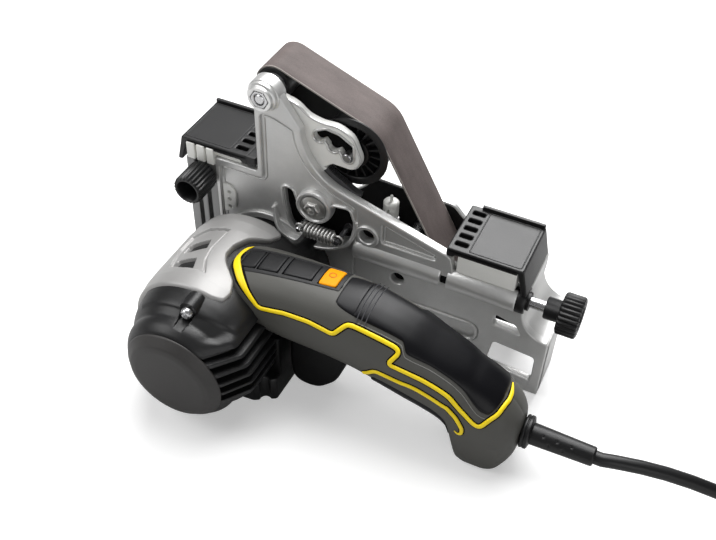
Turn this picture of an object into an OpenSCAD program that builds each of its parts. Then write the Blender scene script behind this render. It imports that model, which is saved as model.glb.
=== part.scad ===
// Electric belt knife sharpener: a motor unit with a drooping handle drives an abrasive belt on a cast frame.
// X runs along the frame to the right, Y away from the handle, Z up.
// The origin lies on the underside of the sole, half way across it.

/* [Belt and wheels] */
// Width of the abrasive belt
belt_w = 25.4; // [20:0.2:30]
// Thickness of the belt
belt_t = 0.9; // [0.6:0.1:1.5]
// Clearance between belt and wheels
belt_gap = 0.3; // [0.2:0.05:0.5]
// Near edge of the belt behind the front face of the frame
belt_y = 11; // [10.6:0.1:13]
// Top wheel, place along X
top_x = -62.5; // [-66:0.5:-60]
// Top wheel, height
top_z = 142; // [138:0.5:150]
// Top wheel, radius
top_r = 9.1; // [8.6:0.1:10]
// Index wheel, place along X
index_x = -18.8; // [-20:0.2:-17]
// Index wheel, height
index_z = 116.2; // [115:0.2:118]
// Index wheel, radius
index_r = 17.5; // [15:0.5:20]
// Lower wheel, place along X
lower_x = 47; // [44:0.5:50]
// Lower wheel, height
lower_z = 17; // [16:0.5:22]
// Lower wheel, radius
lower_r = 9.1; // [8.6:0.1:10]
// Tension roller, place along X
idler_x = -8; // [-12:0.5:-4]
// Tension roller, height
idler_z = 24.6; // [24:0.2:28]
// Tension roller, radius
idler_r = 8; // [7.6:0.1:9]
// Drive wheel, radius
drive_r = 8.4; // [7:0.1:9.5]
// Outer radius of the wheel bearings
bearing_r = 6.5; // [5.5:0.1:7]
// Radius of the wheel axles
axle_r = 3; // [2:0.1:4]
// Running clearance between a shaft and its bore
run_clear = 0.05; // [0.02:0.01:0.08]

/* [Frame casting] */
// Thickness of the front plate
plate_t = 5; // [4.5:0.1:5.2]
// Depth of the recessed panels
recess_d = 1.5; // [0.5:0.1:2.5]
// Depth of the sole, front to back
sole_d = 28; // [24:1:34]
// Thickness of the sole
sole_t = 4; // [3:0.5:5]
// Left side of the frame
column_left = -113; // [-118:1:-110]
// Width of the left column
column_w = 19; // [17:0.5:20]
// Height of the left column
column_top = 88; // [84:0.5:92]
// Right side of the frame
foot_right = 99; // [97:0.5:105]
// Height of the right foot
foot_h = 40; // [36:0.5:44]
// Radius of the hollow sweep above the right foot
swoop_r = 16; // [14:0.5:17]
// Thickness of the right end wall
wall_t = 4; // [3:0.5:5]
// Depth of the right end wall, front to back
wall_d = 38; // [37.2:0.2:42]
// Height of the deck below the right carriage
deck_z = 66; // [65:0.2:66.2]
// Left edge of the post
post_left = -68.6; // [-70:0.2:-67]
// Width of the raised rim along the edges
rim_w = 3.4; // [2.5:0.1:4.5]
// Height of the shelf beside the post
shelf_z = 93; // [91:0.2:93.2]
// Radius of the hollow between the post and the diagonal
hollow_r = 33.5; // [31:0.5:35]
// Slope of the diagonal, degrees
diagonal_a = 17; // [15:0.5:18]
// Right end of the diagonal
diagonal_x = 41.5; // [38:0.5:42]
// Radius of the round head of the post
head_r = 9; // [8:0.1:10]
// Radius of the hole for the motor nose
nose_hole_r = 24.8; // [24.4:0.1:25.4]
// Radius of the round front rail
rail_r = 7.5; // [7:0.1:8]
// Depth of the rail axis behind the front face
rail_y = 5; // [4.5:0.1:5.5]
// Height of the rail axis
rail_z = 61.5; // [61:0.1:62]
// Thickness of the rear guard
guard_t = 3; // [2:0.5:4]
// Height of the rear guard
guard_top = 81; // [78:0.5:84]
// Thickness of the index plate
index_t = 3.5; // [2.5:0.1:3.8]
// Thickness of the rubber feet
pad_t = 2; // [1:0.1:2.5]

/* [Tension arm] */
// Pivot, place along X
pivot_x = -35; // [-36:0.2:-34]
// Pivot, height
pivot_z = 82; // [81:0.2:83]
// Radius of the pivot boss
pivot_boss_r = 9; // [8:0.1:9.4]
// Thickness of the arm
arm_t = 3.6; // [2.5:0.1:3.8]
// Half width of the arm
arm_r = 6; // [5:0.2:7]
// Radius of the spring pins
spring_pin_r = 1.4; // [1:0.1:1.6]
// Mean radius of the spring coils
spring_r = 2.4; // [2.2:0.1:2.6]
// Diameter of the spring wire
spring_wire = 0.9; // [0.6:0.05:1]
// Number of spring coils
spring_coils = 9; // [7:1:9]

/* [Guides] */
// Length of a guide plate along X
guide_l = 40; // [36:0.5:42]
// Depth of a guide plate along Y
guide_d = 37; // [34:0.5:38]
// Thickness of a guide plate
guide_t = 2.4; // [2:0.1:3]
// Inner edge of the right guide
right_guide_x = 39; // [38:0.2:42]
// Height of the top of the right guide
right_guide_z = 84; // [83:0.2:86]
// Overhang of the left guide beyond the left column
left_hang = 0.9; // [0.6:0.1:1.5]
// Rise of the top of the left guide above the left column
left_rise = 13; // [12:0.2:15]
// Height of the outer wall of a guide
guide_wall_h = 16; // [12:0.5:17]
// Outward lean of the outer wall of a guide
guide_lean = 4; // [2:0.2:5]
// Radius of the adjusting screw
screw_r = 3; // [2.5:0.1:3.2]
// Radius of the right knob
right_knob_r = 11; // [9:0.5:13]
// Radius of the left knob
left_knob_r = 8.6; // [7:0.2:9]

/* [Motor unit] */
// Motor axis, place along X
motor_x = -63; // [-65:0.5:-62]
// Motor axis, height
motor_z = 36; // [35:0.5:38]
// Radius of the motor housing
motor_r = 37; // [35:0.2:38]
// Length of the motor unit in front of the frame
motor_l = 103.6; // [100:0.2:110]
// Wall of the motor housing
motor_wall = 3.2; // [2.5:0.1:4]
// Radius of the end cap face
cap_r = 21; // [19:0.2:25]
// Thickness of the satin collar
collar_t = 3; // [2:0.1:3.5]
// Radius of the motor shaft
shaft_r = 4; // [3:0.1:5]
// Radius of the motor bearings
motor_bearing_r = 8; // [7:0.2:10]
// Radius of the armature
armature_r = 21.4; // [18:0.2:22]
// Air gap round the armature
air_gap = 0.6; // [0.5:0.1:1]

/* [Handle] */
// Middle plane of the handle in front of the frame
handle_y = -45; // [-47:0.5:-44]
// Half width of the handle
handle_w = 19.5; // [18:0.2:20.5]
// Wall of the handle shell
handle_wall = 2.5; // [2:0.1:3]
// Roundness exponent of the handle section
handle_n = 2.5; // [2:0.1:3]
// Thickness of the rubber grips
grip_t = 0.9; // [0.6:0.1:1.4]
// Radius of the accent beads
bead_r = 0.9; // [0.6:0.1:1.2]
// Clearance round the keys
key_clear = 0.3; // [0.2:0.05:0.5]
// Travel of a key
key_travel = 1; // [0.6:0.1:1.2]
// Width of the trigger
trigger_w = 20; // [16:0.5:22]

/* [Cord] */
// Diameter of the mains cord
cord_d = 7; // [6.6:0.1:7.2]
// Length of the strain relief sleeve
relief_l = 32; // [25:1:36]
// Radius of the strain relief sleeve at the handle
relief_r = 5.6; // [5:0.1:6.5]
// Height of the cord exit
relief_z = 26; // [24:0.5:28]

/* [Hidden] */
$fn = 64;

// Half the sole lies in front of the origin
y_front = -sole_d / 2;
tiny = 0.02;
cut = 1;
seat = 0.3;
column_right = column_left + column_w;
belt_end = belt_y + belt_w;
wheel_side = 0.4;
flange_t = 1;
flange_out = 2;
guard_y = wall_d;
arm_y = plate_t + 0.6;
arm_end = arm_y + arm_t;
left_guide_x = column_left - left_hang + guide_l;
left_guide_z = column_top + left_rise;
motor_top = motor_z + motor_r;
swoop_x = foot_right - swoop_r;
hollow_c = [-9, 128];
spring_z = pivot_z - 13;
spring_y = -5;
spring_fixed_x = pivot_x - 6;
spring_arm_x = pivot_x + 16.5;
spring_pin_end = spring_y - 3;

// Straight sided helpers, with Y counted from the front face of the frame
module slab(y_from, y_to) {
  translate([0, y_front + y_to, 0]) rotate([90, 0, 0]) linear_extrude(height = y_to - y_from) children();
}
module block(low, high) {
  translate([low[0], y_front + low[1], low[2]]) cube(high - low);
}
module rod_y(x, z, y_from, y_to, r) {
  translate([x, y_front + y_from, z]) rotate([-90, 0, 0]) cylinder(h = y_to - y_from, r = r);
}
module rod_x(y, z, x_from, x_to, r) {
  translate([x_from, y_front + y, z]) rotate([0, 90, 0]) cylinder(h = x_to - x_from, r = r);
}
module rod_z(x, y, z_from, z_to, r) {
  translate([x, y_front + y, z_from]) cylinder(h = z_to - z_from, r = r);
}
// A turned shape about an axis along Y, from points of radius and Y
module turned_y(x, z, points) {
  translate([x, y_front, z]) rotate([-90, 0, 0]) rotate_extrude() polygon(points);
}
module tube_y(x, z, y_from, y_to, r_out, r_in) {
  difference() {
    rod_y(x, z, y_from, y_to, r_out);
    rod_y(x, z, y_from - cut, y_to + cut, r_in);
  }
}
function arc(c, r, a_from, a_to, n) =
  [for (i = [0:n]) let (a = a_from + (a_to - a_from) * i / n) c + r * [cos(a), sin(a)]];
function on_diagonal(x, inset) =
  let (start = hollow_c + (hollow_r + inset) * [cos(270 - diagonal_a), sin(270 - diagonal_a)])
  [x, start[1] - (x - start[0]) * tan(diagonal_a)];

// Frame casting
plate_points = concat(
  [[column_left, 0], [foot_right, 0], [foot_right, foot_h]],
  arc([foot_right, foot_h + swoop_r], swoop_r, 270, 180, 10),
  [[swoop_x, deck_z], [diagonal_x + 2.5, deck_z], on_diagonal(diagonal_x, 0)],
  arc(hollow_c, hollow_r, 270 - diagonal_a, 180, 12),
  [[top_x + head_r * cos(20), top_z + head_r * sin(20)], [post_left, top_z], [post_left, shelf_z],
   [column_right, shelf_z], [column_right, column_top], [column_left, column_top]]);
panel_points = concat(
  [[top_x + 4, top_z - head_r - 3], [post_left + rim_w, top_z - head_r - 3],
      [post_left + rim_w, shelf_z - rim_w - 1.6],
   [column_right + 2, shelf_z - rim_w - 1.6], [column_right + 2, motor_z], [-11, motor_z]],
  [on_diagonal(-11, rim_w + 0.6)],
  arc(hollow_c, hollow_r + rim_w + 0.6, 270 - diagonal_a, 182, 12));
wedge_points = [on_diagonal(4, rim_w + 0.6), on_diagonal(diagonal_x - 8, rim_w + 0.6),
  [diagonal_x - 8, rail_z + rail_r + 2.6], [4, rail_z + rail_r + 2.6]];
pocket_points = [[pivot_x + pivot_boss_r + 0.4, pivot_z + 1], [pivot_x + 20, pivot_z + 3],
    [pivot_x + 21.5, pivot_z - 6],
  [pivot_x + 19, spring_z - 4], [pivot_x + 12, spring_z - 4], [pivot_x + 9, pivot_z - 5]];
window_points = [[70.5, 29], [foot_right - 6, 29], [foot_right - 6, 11.5], [66, 11.5]];
spy_points = [[68, 49], [79, 43.5], [69, 40]];
end_wall_points = concat(
  [[swoop_x - wall_t, deck_z], [swoop_x, deck_z]],
  arc([foot_right, foot_h + swoop_r], swoop_r, 180, 270, 10),
  arc([foot_right, foot_h + swoop_r], swoop_r + wall_t, 270, 180, 10));
long_pocket_z = 31;
long_pocket_r = 7;
groove_w = 2.6;
nose_ring_r = nose_hole_r + 2.4;
ring_hole = [-4.4, 73.6];
bracket_slot_r = 1.6;

module frame_casting() color("silver") difference() {
  union() {
    slab(0, plate_t) polygon(plate_points);
    rod_y(top_x, top_z, 0, plate_t + 2, head_r);
    rod_y(top_x, top_z, -2.5, tiny, head_r - 0.8);
    rod_y(top_x, top_z, -4.5, -2, head_r - 2.2);
    slab(0, wall_d) polygon(end_wall_points);
    block([foot_right - wall_t, 0, 0], [foot_right, sole_d, foot_h]);
    block([column_left, 0, 0], [foot_right - 45, sole_d, sole_t]);
    block([column_left, 0, 0], [column_left + wall_t, sole_d, column_top]);
    block([column_right - wall_t, plate_t - tiny, 0], [column_right, sole_d, column_top]);
    block([tracking_x - 4, plate_t - tiny, tracking_from - 4],
        [tracking_x + 4, tracking_y + 4, tracking_from - seat]);
    intersection() {
      rod_x(rail_y, rail_z, pivot_x + 13, swoop_x, rail_r);
      union() {
        block([diagonal_x - 14, -rail_r, 0], [foot_right, belt_y - 0.6, top_z]);
        block([column_left, -rail_r, 0], [diagonal_x, plate_t, top_z]);
      }
    }
  }
  slab(-cut, recess_d) difference() {
    polygon(panel_points);
    translate([pivot_x, pivot_z]) circle(r = pivot_boss_r);
    translate([motor_x, motor_z]) circle(r = nose_ring_r);
    translate(ring_hole) circle(r = 5.4);
  }
  slab(-cut, recess_d) polygon(wedge_points);
  rod_y(motor_x, motor_z, -cut, plate_t + cut, nose_hole_r);
  rod_y(top_x, top_z, -5 - cut, plate_t + 3, axle_r + tiny);
  translate([top_x, y_front - 4.5, top_z]) rotate([-90, 0, 0]) cylinder(h = 6, r = 5.2, center = true,
      $fn = 6);
  rod_y(pivot_x, pivot_z, -6, plate_t + cut, axle_r + run_clear);
  rod_y(ring_hole[0], ring_hole[1], -cut, plate_t + cut, 3.5);
  slab(-cut, plate_t + cut) polygon(pocket_points);
  slab(-cut, plate_t + cut) polygon(window_points);
  slab(-cut, plate_t + cut) polygon(spy_points);
  rod_y(lower_x, lower_z, -cut, plate_t + cut, axle_r + tiny);
  block([14, -cut, long_pocket_z - long_pocket_r], [55, recess_d + 1, long_pocket_z + long_pocket_r]);
  rod_y(55, long_pocket_z, -cut, recess_d + 1, long_pocket_r);
  rod_y(14, 50.5, -cut, plate_t + cut, 3.6);
  for (i = [0:1]) {
    block([column_left + 5.4 + 6 * i, -cut, sole_t + 6],
        [column_left + 5.4 + 6 * i + groove_w, 1.8, column_top + cut]);
  }
  rod_y(column_left + 11.8, column_top - 7, -cut, plate_t + cut, screw_r + tiny);
  rod_x(rail_y, rail_z, diagonal_x - 12, foot_right, screw_r + run_clear);
  rod_x(rail_y, rail_z, diagonal_x - 3.5, swoop_x - 10, rail_r - 1.7);
  rod_x(rail_y, rail_z, swoop_x - 5, foot_right, 5);
  block([diagonal_x - 3.5, rail_y - 2.6, rail_z], [swoop_x - 10, rail_y + 2.6, rail_z + rail_r + cut]);
  rod_y(spring_fixed_x, spring_z, -cut, plate_t + cut, spring_pin_r);
  rod_z(tracking_x, tracking_y, tracking_from - 5, tracking_from, 1.5 + run_clear);
  for (p = post_places) rod_y(p[0], p[1], recess_d + 1, plate_t + cut, bracket_slot_r);
  for (p = pad_places) block([p[0], pad_inset, -cut], [p[0] + pad_l, sole_d - pad_inset, pad_t]);
}

// Rear guard and its posts
post_places = [[12, 58], [60, 42]];
guard_points = concat(
  arc([-16, guard_top - 18], 18, 180, 92, 8),
  [[29, guard_top - 2.5], [35, guard_top - 9], [diagonal_x + 2.5, deck_z], [swoop_x, deck_z],
      [swoop_x, foot_h + swoop_r],
   [swoop_x - 3, 6], [-24, 6], [-34, 18]],
  [[-46, 24], [-70, 56], [-70, 100], [-66, 111.5], [-52, 128.5], [-38, 128.5], [-27.5, 119],
   [-28.5, 110], [-40, 103], [-53, 95], [-56, 80], [-52, 58], [-34, 42]]);
module rear_guard() color("silver") difference() {
  slab(guard_y, guard_y + guard_t) polygon(guard_points);
  rod_y(lower_x, lower_z, guard_y - cut, guard_y + guard_t + cut, axle_r + tiny);
  for (p = post_places) rod_y(p[0], p[1], guard_y - cut, guard_y + guard_t + cut, bracket_slot_r);
}
module guard_posts() color("gainsboro") {
  for (p = post_places) {
    difference() {
      rod_y(p[0], p[1], plate_t, guard_y, 4);
      rod_y(p[0], p[1], plate_t - cut, guard_y + cut, bracket_slot_r);
    }
  }
}
module guard_screws() color("gray") {
  for (p = post_places) {
    rod_y(p[0], p[1], guard_y - 8, guard_y + guard_t, bracket_slot_r - tiny);
    rod_y(p[0], p[1], guard_y + guard_t, guard_y + guard_t + 2, 3);
  }
}
pad_l = 16;
pad_inset = 2;
pad_places = [[column_left + 4, 0], [foot_right - 63, 0]];
module rubber_feet() color("black") {
  for (p = pad_places) {
    block([p[0] + tiny, pad_inset + tiny, 0], [p[0] + pad_l - tiny, sole_d - pad_inset - tiny, pad_t]);
  }
}

// Index plate with three notches for the index axle, and its toothed edge
notch_step = [-8, 3.6];
tooth_count = 5;
index_points = concat(
  [[-58, 92], [-24.5, 92], [-21.5, 96.5]],
  [for (i = [0:tooth_count * 2 - 1]) [-23 - i * 0.95 + (i % 2) * 1.1, 97.4 + i * 0.75 + (i % 2) * 1.1]],
  [[-32.2, 105.5], [-27, 109.2]],
  arc([index_x, index_z], 7.4, 260, 390, 10),
  [[-16, 128.8], [-24.8, 133.4], [-32.6, 132], [-41, 134], [-46.5, 138], [-58, 138]]);
slot_points = [[index_x + 2.6, index_z], [index_x + 2.4, index_z + 7.4], [index_x - 5, index_z + 12],
  [index_x - 12, index_z + 12.6], [index_x - 18.6, index_z + 9], [index_x - 17, index_z + 6],
      [index_x - 7, index_z + 4],
  [index_x - 2.6, index_z]];
module index_plate() color("lightgray") difference() {
  slab(plate_t, plate_t + index_t) polygon(index_points);
  rod_y(top_x, top_z, plate_t - cut, plate_t + index_t + cut, head_r + seat);
  slab(plate_t - cut, plate_t + index_t + cut) {
    polygon(slot_points);
    for (i = [0:2]) translate([index_x, index_z] + i * notch_step) circle(r = index_pin_r + run_clear);
  }
}
module scale_tab() color("silver") difference() {
  slab(recess_d - 1.2, recess_d) polygon([[-91, 57], [-84, 61], [-83.2, 72], [-86, 76], [-91, 77]]);
  rod_y(motor_x, motor_z, -cut, recess_d + cut, nose_ring_r + seat);
  for (z = [62, 68, 73]) rod_y(-87.3, z, -cut, recess_d + cut, 1.2);
}

// Wheels: each has its own bearing on a plain axle
wheel_from = belt_y - wheel_side;
wheel_to = belt_end + wheel_side;
module wheel(x, z, r) {
  tube_y(x, z, wheel_from, wheel_to, r, bearing_r + run_clear);
}
module bearing(x, z) color("gray") tube_y(x, z, wheel_from + 1, wheel_to - 1, bearing_r, axle_r + run_clear);
module top_wheel() color("black") wheel(top_x, top_z, top_r);
module wheel_bearings() {
  bearing(top_x, top_z);
  bearing(lower_x, lower_z);
}
module top_bolt() color("silver") {
  rod_y(top_x, top_z, -4.2, wheel_to + 0.6, axle_r);
  rod_y(top_x, top_z, wheel_to + 0.6, wheel_to + 3.6, axle_r + 2.6);
}
module top_nut() color("silver") difference() {
  translate([top_x, y_front - 3.2, top_z]) rotate([-90, 0, 0]) cylinder(h = 2.6, r = 4.9, center = true,
      $fn = 6);
  rod_y(top_x, top_z, -6, 0, axle_r + tiny);
}
index_pin_r = 2.5;
module index_wheel() color("black") difference() {
  union() {
    wheel(index_x, index_z, index_r);
    tube_y(index_x, index_z, wheel_from - flange_t, wheel_from + tiny, index_r + flange_out, index_r - 2.2);
  }
  tube_y(index_x, index_z, wheel_from - cut, wheel_from + 4, index_r - 2.2, bearing_r + 2.4);
}
module index_bearing() color("gray") {
  tube_y(index_x, index_z, wheel_from + 1, wheel_to - 1, bearing_r, index_pin_r + run_clear);
}
module index_axle() color("rosybrown") {
  rod_y(index_x, index_z, plate_t + 0.6, wheel_to + 0.6, index_pin_r);
  rod_y(index_x, index_z, plate_t + index_t, wheel_from - 0.4, index_pin_r + 2);
  rod_y(index_x, index_z, wheel_to + 0.6, wheel_to + 2.2, index_pin_r + 2);
}
module lower_wheel() color("black") wheel(lower_x, lower_z, lower_r);
module lower_axle() color("silver") rod_y(lower_x, lower_z, 0.6, guard_y + guard_t, axle_r);
module drive_wheel() color("black") difference() {
  rod_y(motor_x, motor_z, wheel_from, wheel_to, drive_r);
  rod_y(motor_x, motor_z, wheel_from - cut, wheel_to + cut, shaft_r + tiny);
}
belt_loop = [[top_x, top_z, top_r], [index_x, index_z, index_r], [lower_x, lower_z, lower_r],
  [idler_x, idler_z, idler_r], [motor_x, motor_z, drive_r]];
module belt_outline(out) {
  hull() for (w = belt_loop) translate([w[0], w[1]]) circle(r = w[2] + out, $fn = 96);
}
module abrasive_belt() color("rosybrown") slab(belt_y, belt_end) difference() {
  belt_outline(belt_gap + belt_t);
  belt_outline(belt_gap);
}

// Tension arm behind the plate, with a roller on the inside of the lower run
module tension_arm() color("dimgray") difference() {
  union() {
    slab(arm_y, arm_end) hull() {
      translate([pivot_x, pivot_z]) circle(r = arm_r + 1, $fn = 32);
      translate([idler_x, idler_z]) circle(r = arm_r - 0.6, $fn = 32);
    }
    slab(arm_y, arm_end) hull() {
      translate([pivot_x, pivot_z]) circle(r = arm_r, $fn = 32);
      translate([spring_arm_x, spring_z]) circle(r = 3, $fn = 32);
    }
    rod_y(idler_x, idler_z, arm_end - tiny, wheel_to + 0.4, axle_r);
    rod_y(idler_x, idler_z, arm_end - tiny, wheel_from + 0.6, axle_r + 1.2);
    rod_y(spring_arm_x, spring_z, spring_pin_end, arm_y + tiny, spring_pin_r);
  }
  rod_y(pivot_x, pivot_z, arm_y - cut, arm_end + cut, axle_r + run_clear);
}
module tension_roller() color("black") wheel(idler_x, idler_z, idler_r);
module roller_bearing() bearing(idler_x, idler_z);
module pivot_bolt() color("silver") {
  rod_y(pivot_x, pivot_z, -4, arm_end + 0.3, axle_r);
  rod_y(pivot_x, pivot_z, arm_end + 0.3, arm_end + 1.1, axle_r + 2.4);
  difference() {
    rod_y(pivot_x, pivot_z, -4, 0, pivot_boss_r - 1.4);
    translate([pivot_x, y_front - 4, pivot_z]) rotate([-90, 0, 0]) cylinder(h = 5, r = 4.2, center = true,
        $fn = 6);
  }
  rod_y(spring_fixed_x, spring_z, spring_pin_end, plate_t - 0.5, spring_pin_r - tiny);
}

// Tension spring: one tube wound round an axis along X, with straight ends over the two pins
spring_sides = 6;
spring_rings = 8;
spring_from = spring_fixed_x + 3.6;
spring_to = spring_arm_x - 3.6;
spring_pitch = (spring_to - spring_from) / spring_coils;
spring_steps = spring_coils * spring_rings;
function spring_point(i) =
  let (a = 360 * i / spring_rings)
  [spring_from + spring_pitch * i / spring_rings, y_front + spring_y + spring_r * sin(a),
      spring_z + spring_r * cos(a)];
spring_path = concat(
  [[spring_fixed_x - 1, y_front + spring_y, spring_z + spring_r]],
  [for (i = [0:spring_steps]) spring_point(i)],
  [[spring_arm_x + 1, y_front + spring_y, spring_z + spring_r]]);
spring_gap = min([for (i = [0:spring_steps - spring_rings], j = [spring_rings - 2:spring_rings + 2])
  if (i + j <= spring_steps) norm(spring_point(i) - spring_point(i + j))]) - spring_wire;
echo(spring_gap = spring_gap);
module tension_spring() color("silver") pipe(spring_path, spring_wire / 2, spring_sides);

// Slotted screw in a silver barrel that trims the run of the belt
tracking_x = 0.8;
tracking_y = 18;
tracking_from = 74;
tracking_r = 4.2;
module tracking_screw() color("gainsboro") difference() {
  union() {
    rod_z(tracking_x, tracking_y, tracking_from, tracking_from + 12, tracking_r);
    rod_z(tracking_x, tracking_y, tracking_from + 12 - tiny, tracking_from + 16, 0.7);
    rod_z(tracking_x, tracking_y, tracking_from - 3, tracking_from + tiny, 1.5);
  }
  block([tracking_x - 0.6, tracking_y - tracking_r - 1, tracking_from + 3],
      [tracking_x + 0.6, tracking_y - tracking_r + 1.4, tracking_from + 9]);
}

// Guides and their carriages
slot_count = 5;
slot_w = 3.2;
slot_l = 6.5;
lip_h = 2.2;
lip_w = 2;
module guide_shape(y_from, slots) {
  difference() {
    union() {
      slab(y_from, y_from + guide_d) polygon([[0, 0], [guide_l, 0], [guide_l + guide_lean, -guide_wall_h],
        [guide_l + guide_lean - guide_t, -guide_wall_h], [guide_l - guide_t, -guide_t], [0, -guide_t]]);
      slab(y_from + guide_d - lip_w, y_from + guide_d) polygon([[6, -tiny], [guide_l, -tiny],
          [guide_l, lip_h], [6, lip_h]]);
      slab(y_from, y_from + lip_w) polygon([[0, -tiny], [guide_l - guide_t - 0.6, -tiny],
        [guide_l - guide_t - 0.6, -guide_t - 1.2], [4.4, -guide_t - 1.2], [3.4, -guide_t - 3],
          [0, -guide_t - 3]]);
    }
    for (i = [0:slots - 1]) {
      translate([2.6, y_front + y_from + 4 + i * (guide_d - 8 - slot_w) / (slot_count - 1), -guide_t - cut])
        cube([slot_l, slot_w, guide_t + 2 * cut]);
    }
  }
}
module right_guide() color("dimgray") difference() {
  translate([right_guide_x, 0, right_guide_z]) guide_shape(0, slot_count);
  rod_x(rail_y, rail_z, right_guide_x, foot_right, rail_r + seat);
}
module left_guide() color("dimgray") translate([left_guide_x, 0, left_guide_z]) {
  mirror([1, 0, 0]) guide_shape(-0.5, slot_count);
}

carriage_from = diagonal_x + 3.5;
carriage_to = right_guide_x + guide_l - guide_t - 0.3;
carriage_top = right_guide_z - guide_t;
carriage_y = lip_w + tiny;
module right_carriage() color("lightgray") difference() {
  union() {
    block([carriage_from, carriage_y, deck_z + seat], [carriage_to, guide_d - 1, carriage_top]);
    block([carriage_from + 0.4, 0.2, deck_z + seat], [carriage_to, carriage_y + tiny, carriage_top - 1.3]);
  }
  rod_x(rail_y, rail_z, carriage_from - cut, carriage_to + cut, rail_r + seat);
  block([carriage_from + 6, belt_y + 2, deck_z - cut], [carriage_to - 4, guide_d - 4, carriage_top - 3]);
}
nut_from = carriage_from + 6;
module screw_nut() color("goldenrod") difference() {
  union() {
    rod_x(rail_y, rail_z, nut_from, nut_from + 9, rail_r - 2);
    block([nut_from, rail_y - 2, rail_z], [nut_from + 9, rail_y + 2, rail_z + rail_r + tiny]);
  }
  rod_x(rail_y, rail_z, nut_from - cut, nut_from + 9 + cut, screw_r + run_clear);
}
knob_hub_from = foot_right - 8.5;
knob_hub_l = 9.5;
knob_disc_l = 11;
knob_flutes = 26;
module adjusting_screw() color("gainsboro") rod_x(rail_y, rail_z, diagonal_x - 11,
    knob_hub_from + knob_hub_l, screw_r);
module screw_bush() color("black") difference() {
  rod_x(rail_y, rail_z, swoop_x - 4.9, swoop_x + 1.6, 5 - tiny);
  rod_x(rail_y, rail_z, swoop_x - 6, swoop_x + 3, screw_r + run_clear);
}
module fluted(r, n) {
  difference() {
    circle(r = r);
    for (i = [0:n - 1]) rotate(360 * i / n) translate([r + 0.25, 0]) circle(r = PI * r / n * 0.62, $fn = 16);
  }
}
module right_knob() color("black") difference() {
  union() {
    rod_x(rail_y, rail_z, knob_hub_from, knob_hub_from + knob_hub_l + tiny, 5.8);
    translate([knob_hub_from + knob_hub_l, y_front + rail_y, rail_z]) rotate([0, 90, 0])
      linear_extrude(height = knob_disc_l) fluted(right_knob_r, knob_flutes);
  }
  rod_x(rail_y, rail_z, knob_hub_from - cut, knob_hub_from + knob_hub_l + 0.1, screw_r + tiny);
}

left_end = left_guide_x - guide_l + guide_t + 0.3;
left_top = left_guide_z - guide_t;
clamp_x = column_left + 11.8;
clamp_z = column_top - 7;
module left_carriage() color("lightgray") difference() {
  union() {
    block([left_end, 2, column_top + seat], [column_right - 0.6, sole_d - 2, left_top]);
    block([left_end, -1.2, column_top + seat], [column_right - 0.6, 1.5 + 2, left_top - 1.4]);
    block([column_right - 1, 1.6, shelf_z + seat], [left_guide_x - 5, plate_t + 2, shelf_z + 4]);
    block([column_right - 1, 1.6, left_top - 3], [left_guide_x - 5, sole_d - 6, left_top]);
  }
  for (i = [0:1]) {
    block([left_end + 5.2 + 6 * i, -2 - cut, column_top - cut], [left_end + 6 + 6 * i, 8, left_top + cut]);
  }
}
left_knob_from = -19;
left_knob_flutes = 22;
module left_knob() color("black") difference() {
  union() {
    slab(left_knob_from, left_knob_from + 13) translate([clamp_x, clamp_z]) fluted(left_knob_r,
        left_knob_flutes);
    rod_y(clamp_x, clamp_z, left_knob_from + 13 - tiny, -1.6, left_knob_r - 2.2);
  }
  rod_y(clamp_x, clamp_z, left_knob_from - cut, left_knob_from + 7, left_knob_r - 3);
  rod_y(clamp_x, clamp_z, left_knob_from + 9, 0, screw_r);
}
module clamp_stud() color("gainsboro") rod_y(clamp_x, clamp_z, left_knob_from + 9.1, plate_t,
    screw_r - run_clear);

// Motor housing
cap_y = -motor_l;
rear_y = cap_y + 5.6;
nose_y = -2;
nose_r = nose_hole_r - seat;
housing_points = [[motor_bearing_r + tiny, 3], [nose_r, 3], [nose_r, nose_y - 1], [motor_r - 10.4, nose_y - 3],
  [motor_r - 7, nose_y - 6], [motor_r - 3.4, nose_y - 9.4], [motor_r - 1, nose_y - 12], [motor_r, nose_y - 16],
  [motor_r, cap_y + 31], [motor_r - 0.6, cap_y + 27],
  [motor_r - 2.6, cap_y + 21], [motor_r - 5, cap_y + 17], [motor_r - 6.2, cap_y + 15.4],
      [motor_r - 5.8, cap_y + 13.4],
  [motor_r - 6.8, cap_y + 9.6], [motor_r - 9.4, rear_y], [motor_r - 9.4 - motor_wall, rear_y],
  [motor_r - 6.8 - motor_wall, cap_y + 9.6], [motor_r - 6.2 - motor_wall, cap_y + 15.4],
  [motor_r - 0.6 - motor_wall, cap_y + 27], [motor_r - motor_wall, nose_y - 18],
  [motor_r - 12 - motor_wall, -5.4], [motor_r - 13 - motor_wall, -3], [motor_bearing_r + tiny, -3]];
fin_count = 5;
fin_from = cap_y + 8;
fin_to = cap_y + 42;
fin_slot = 3.6;
fin_first = 30;
fin_step = 9;
screw_angles = [85, 205];
screw_ring_r = motor_r - 3.2;
screw_seat = cap_y + 20;
screw_head_r = 3.2;
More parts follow.
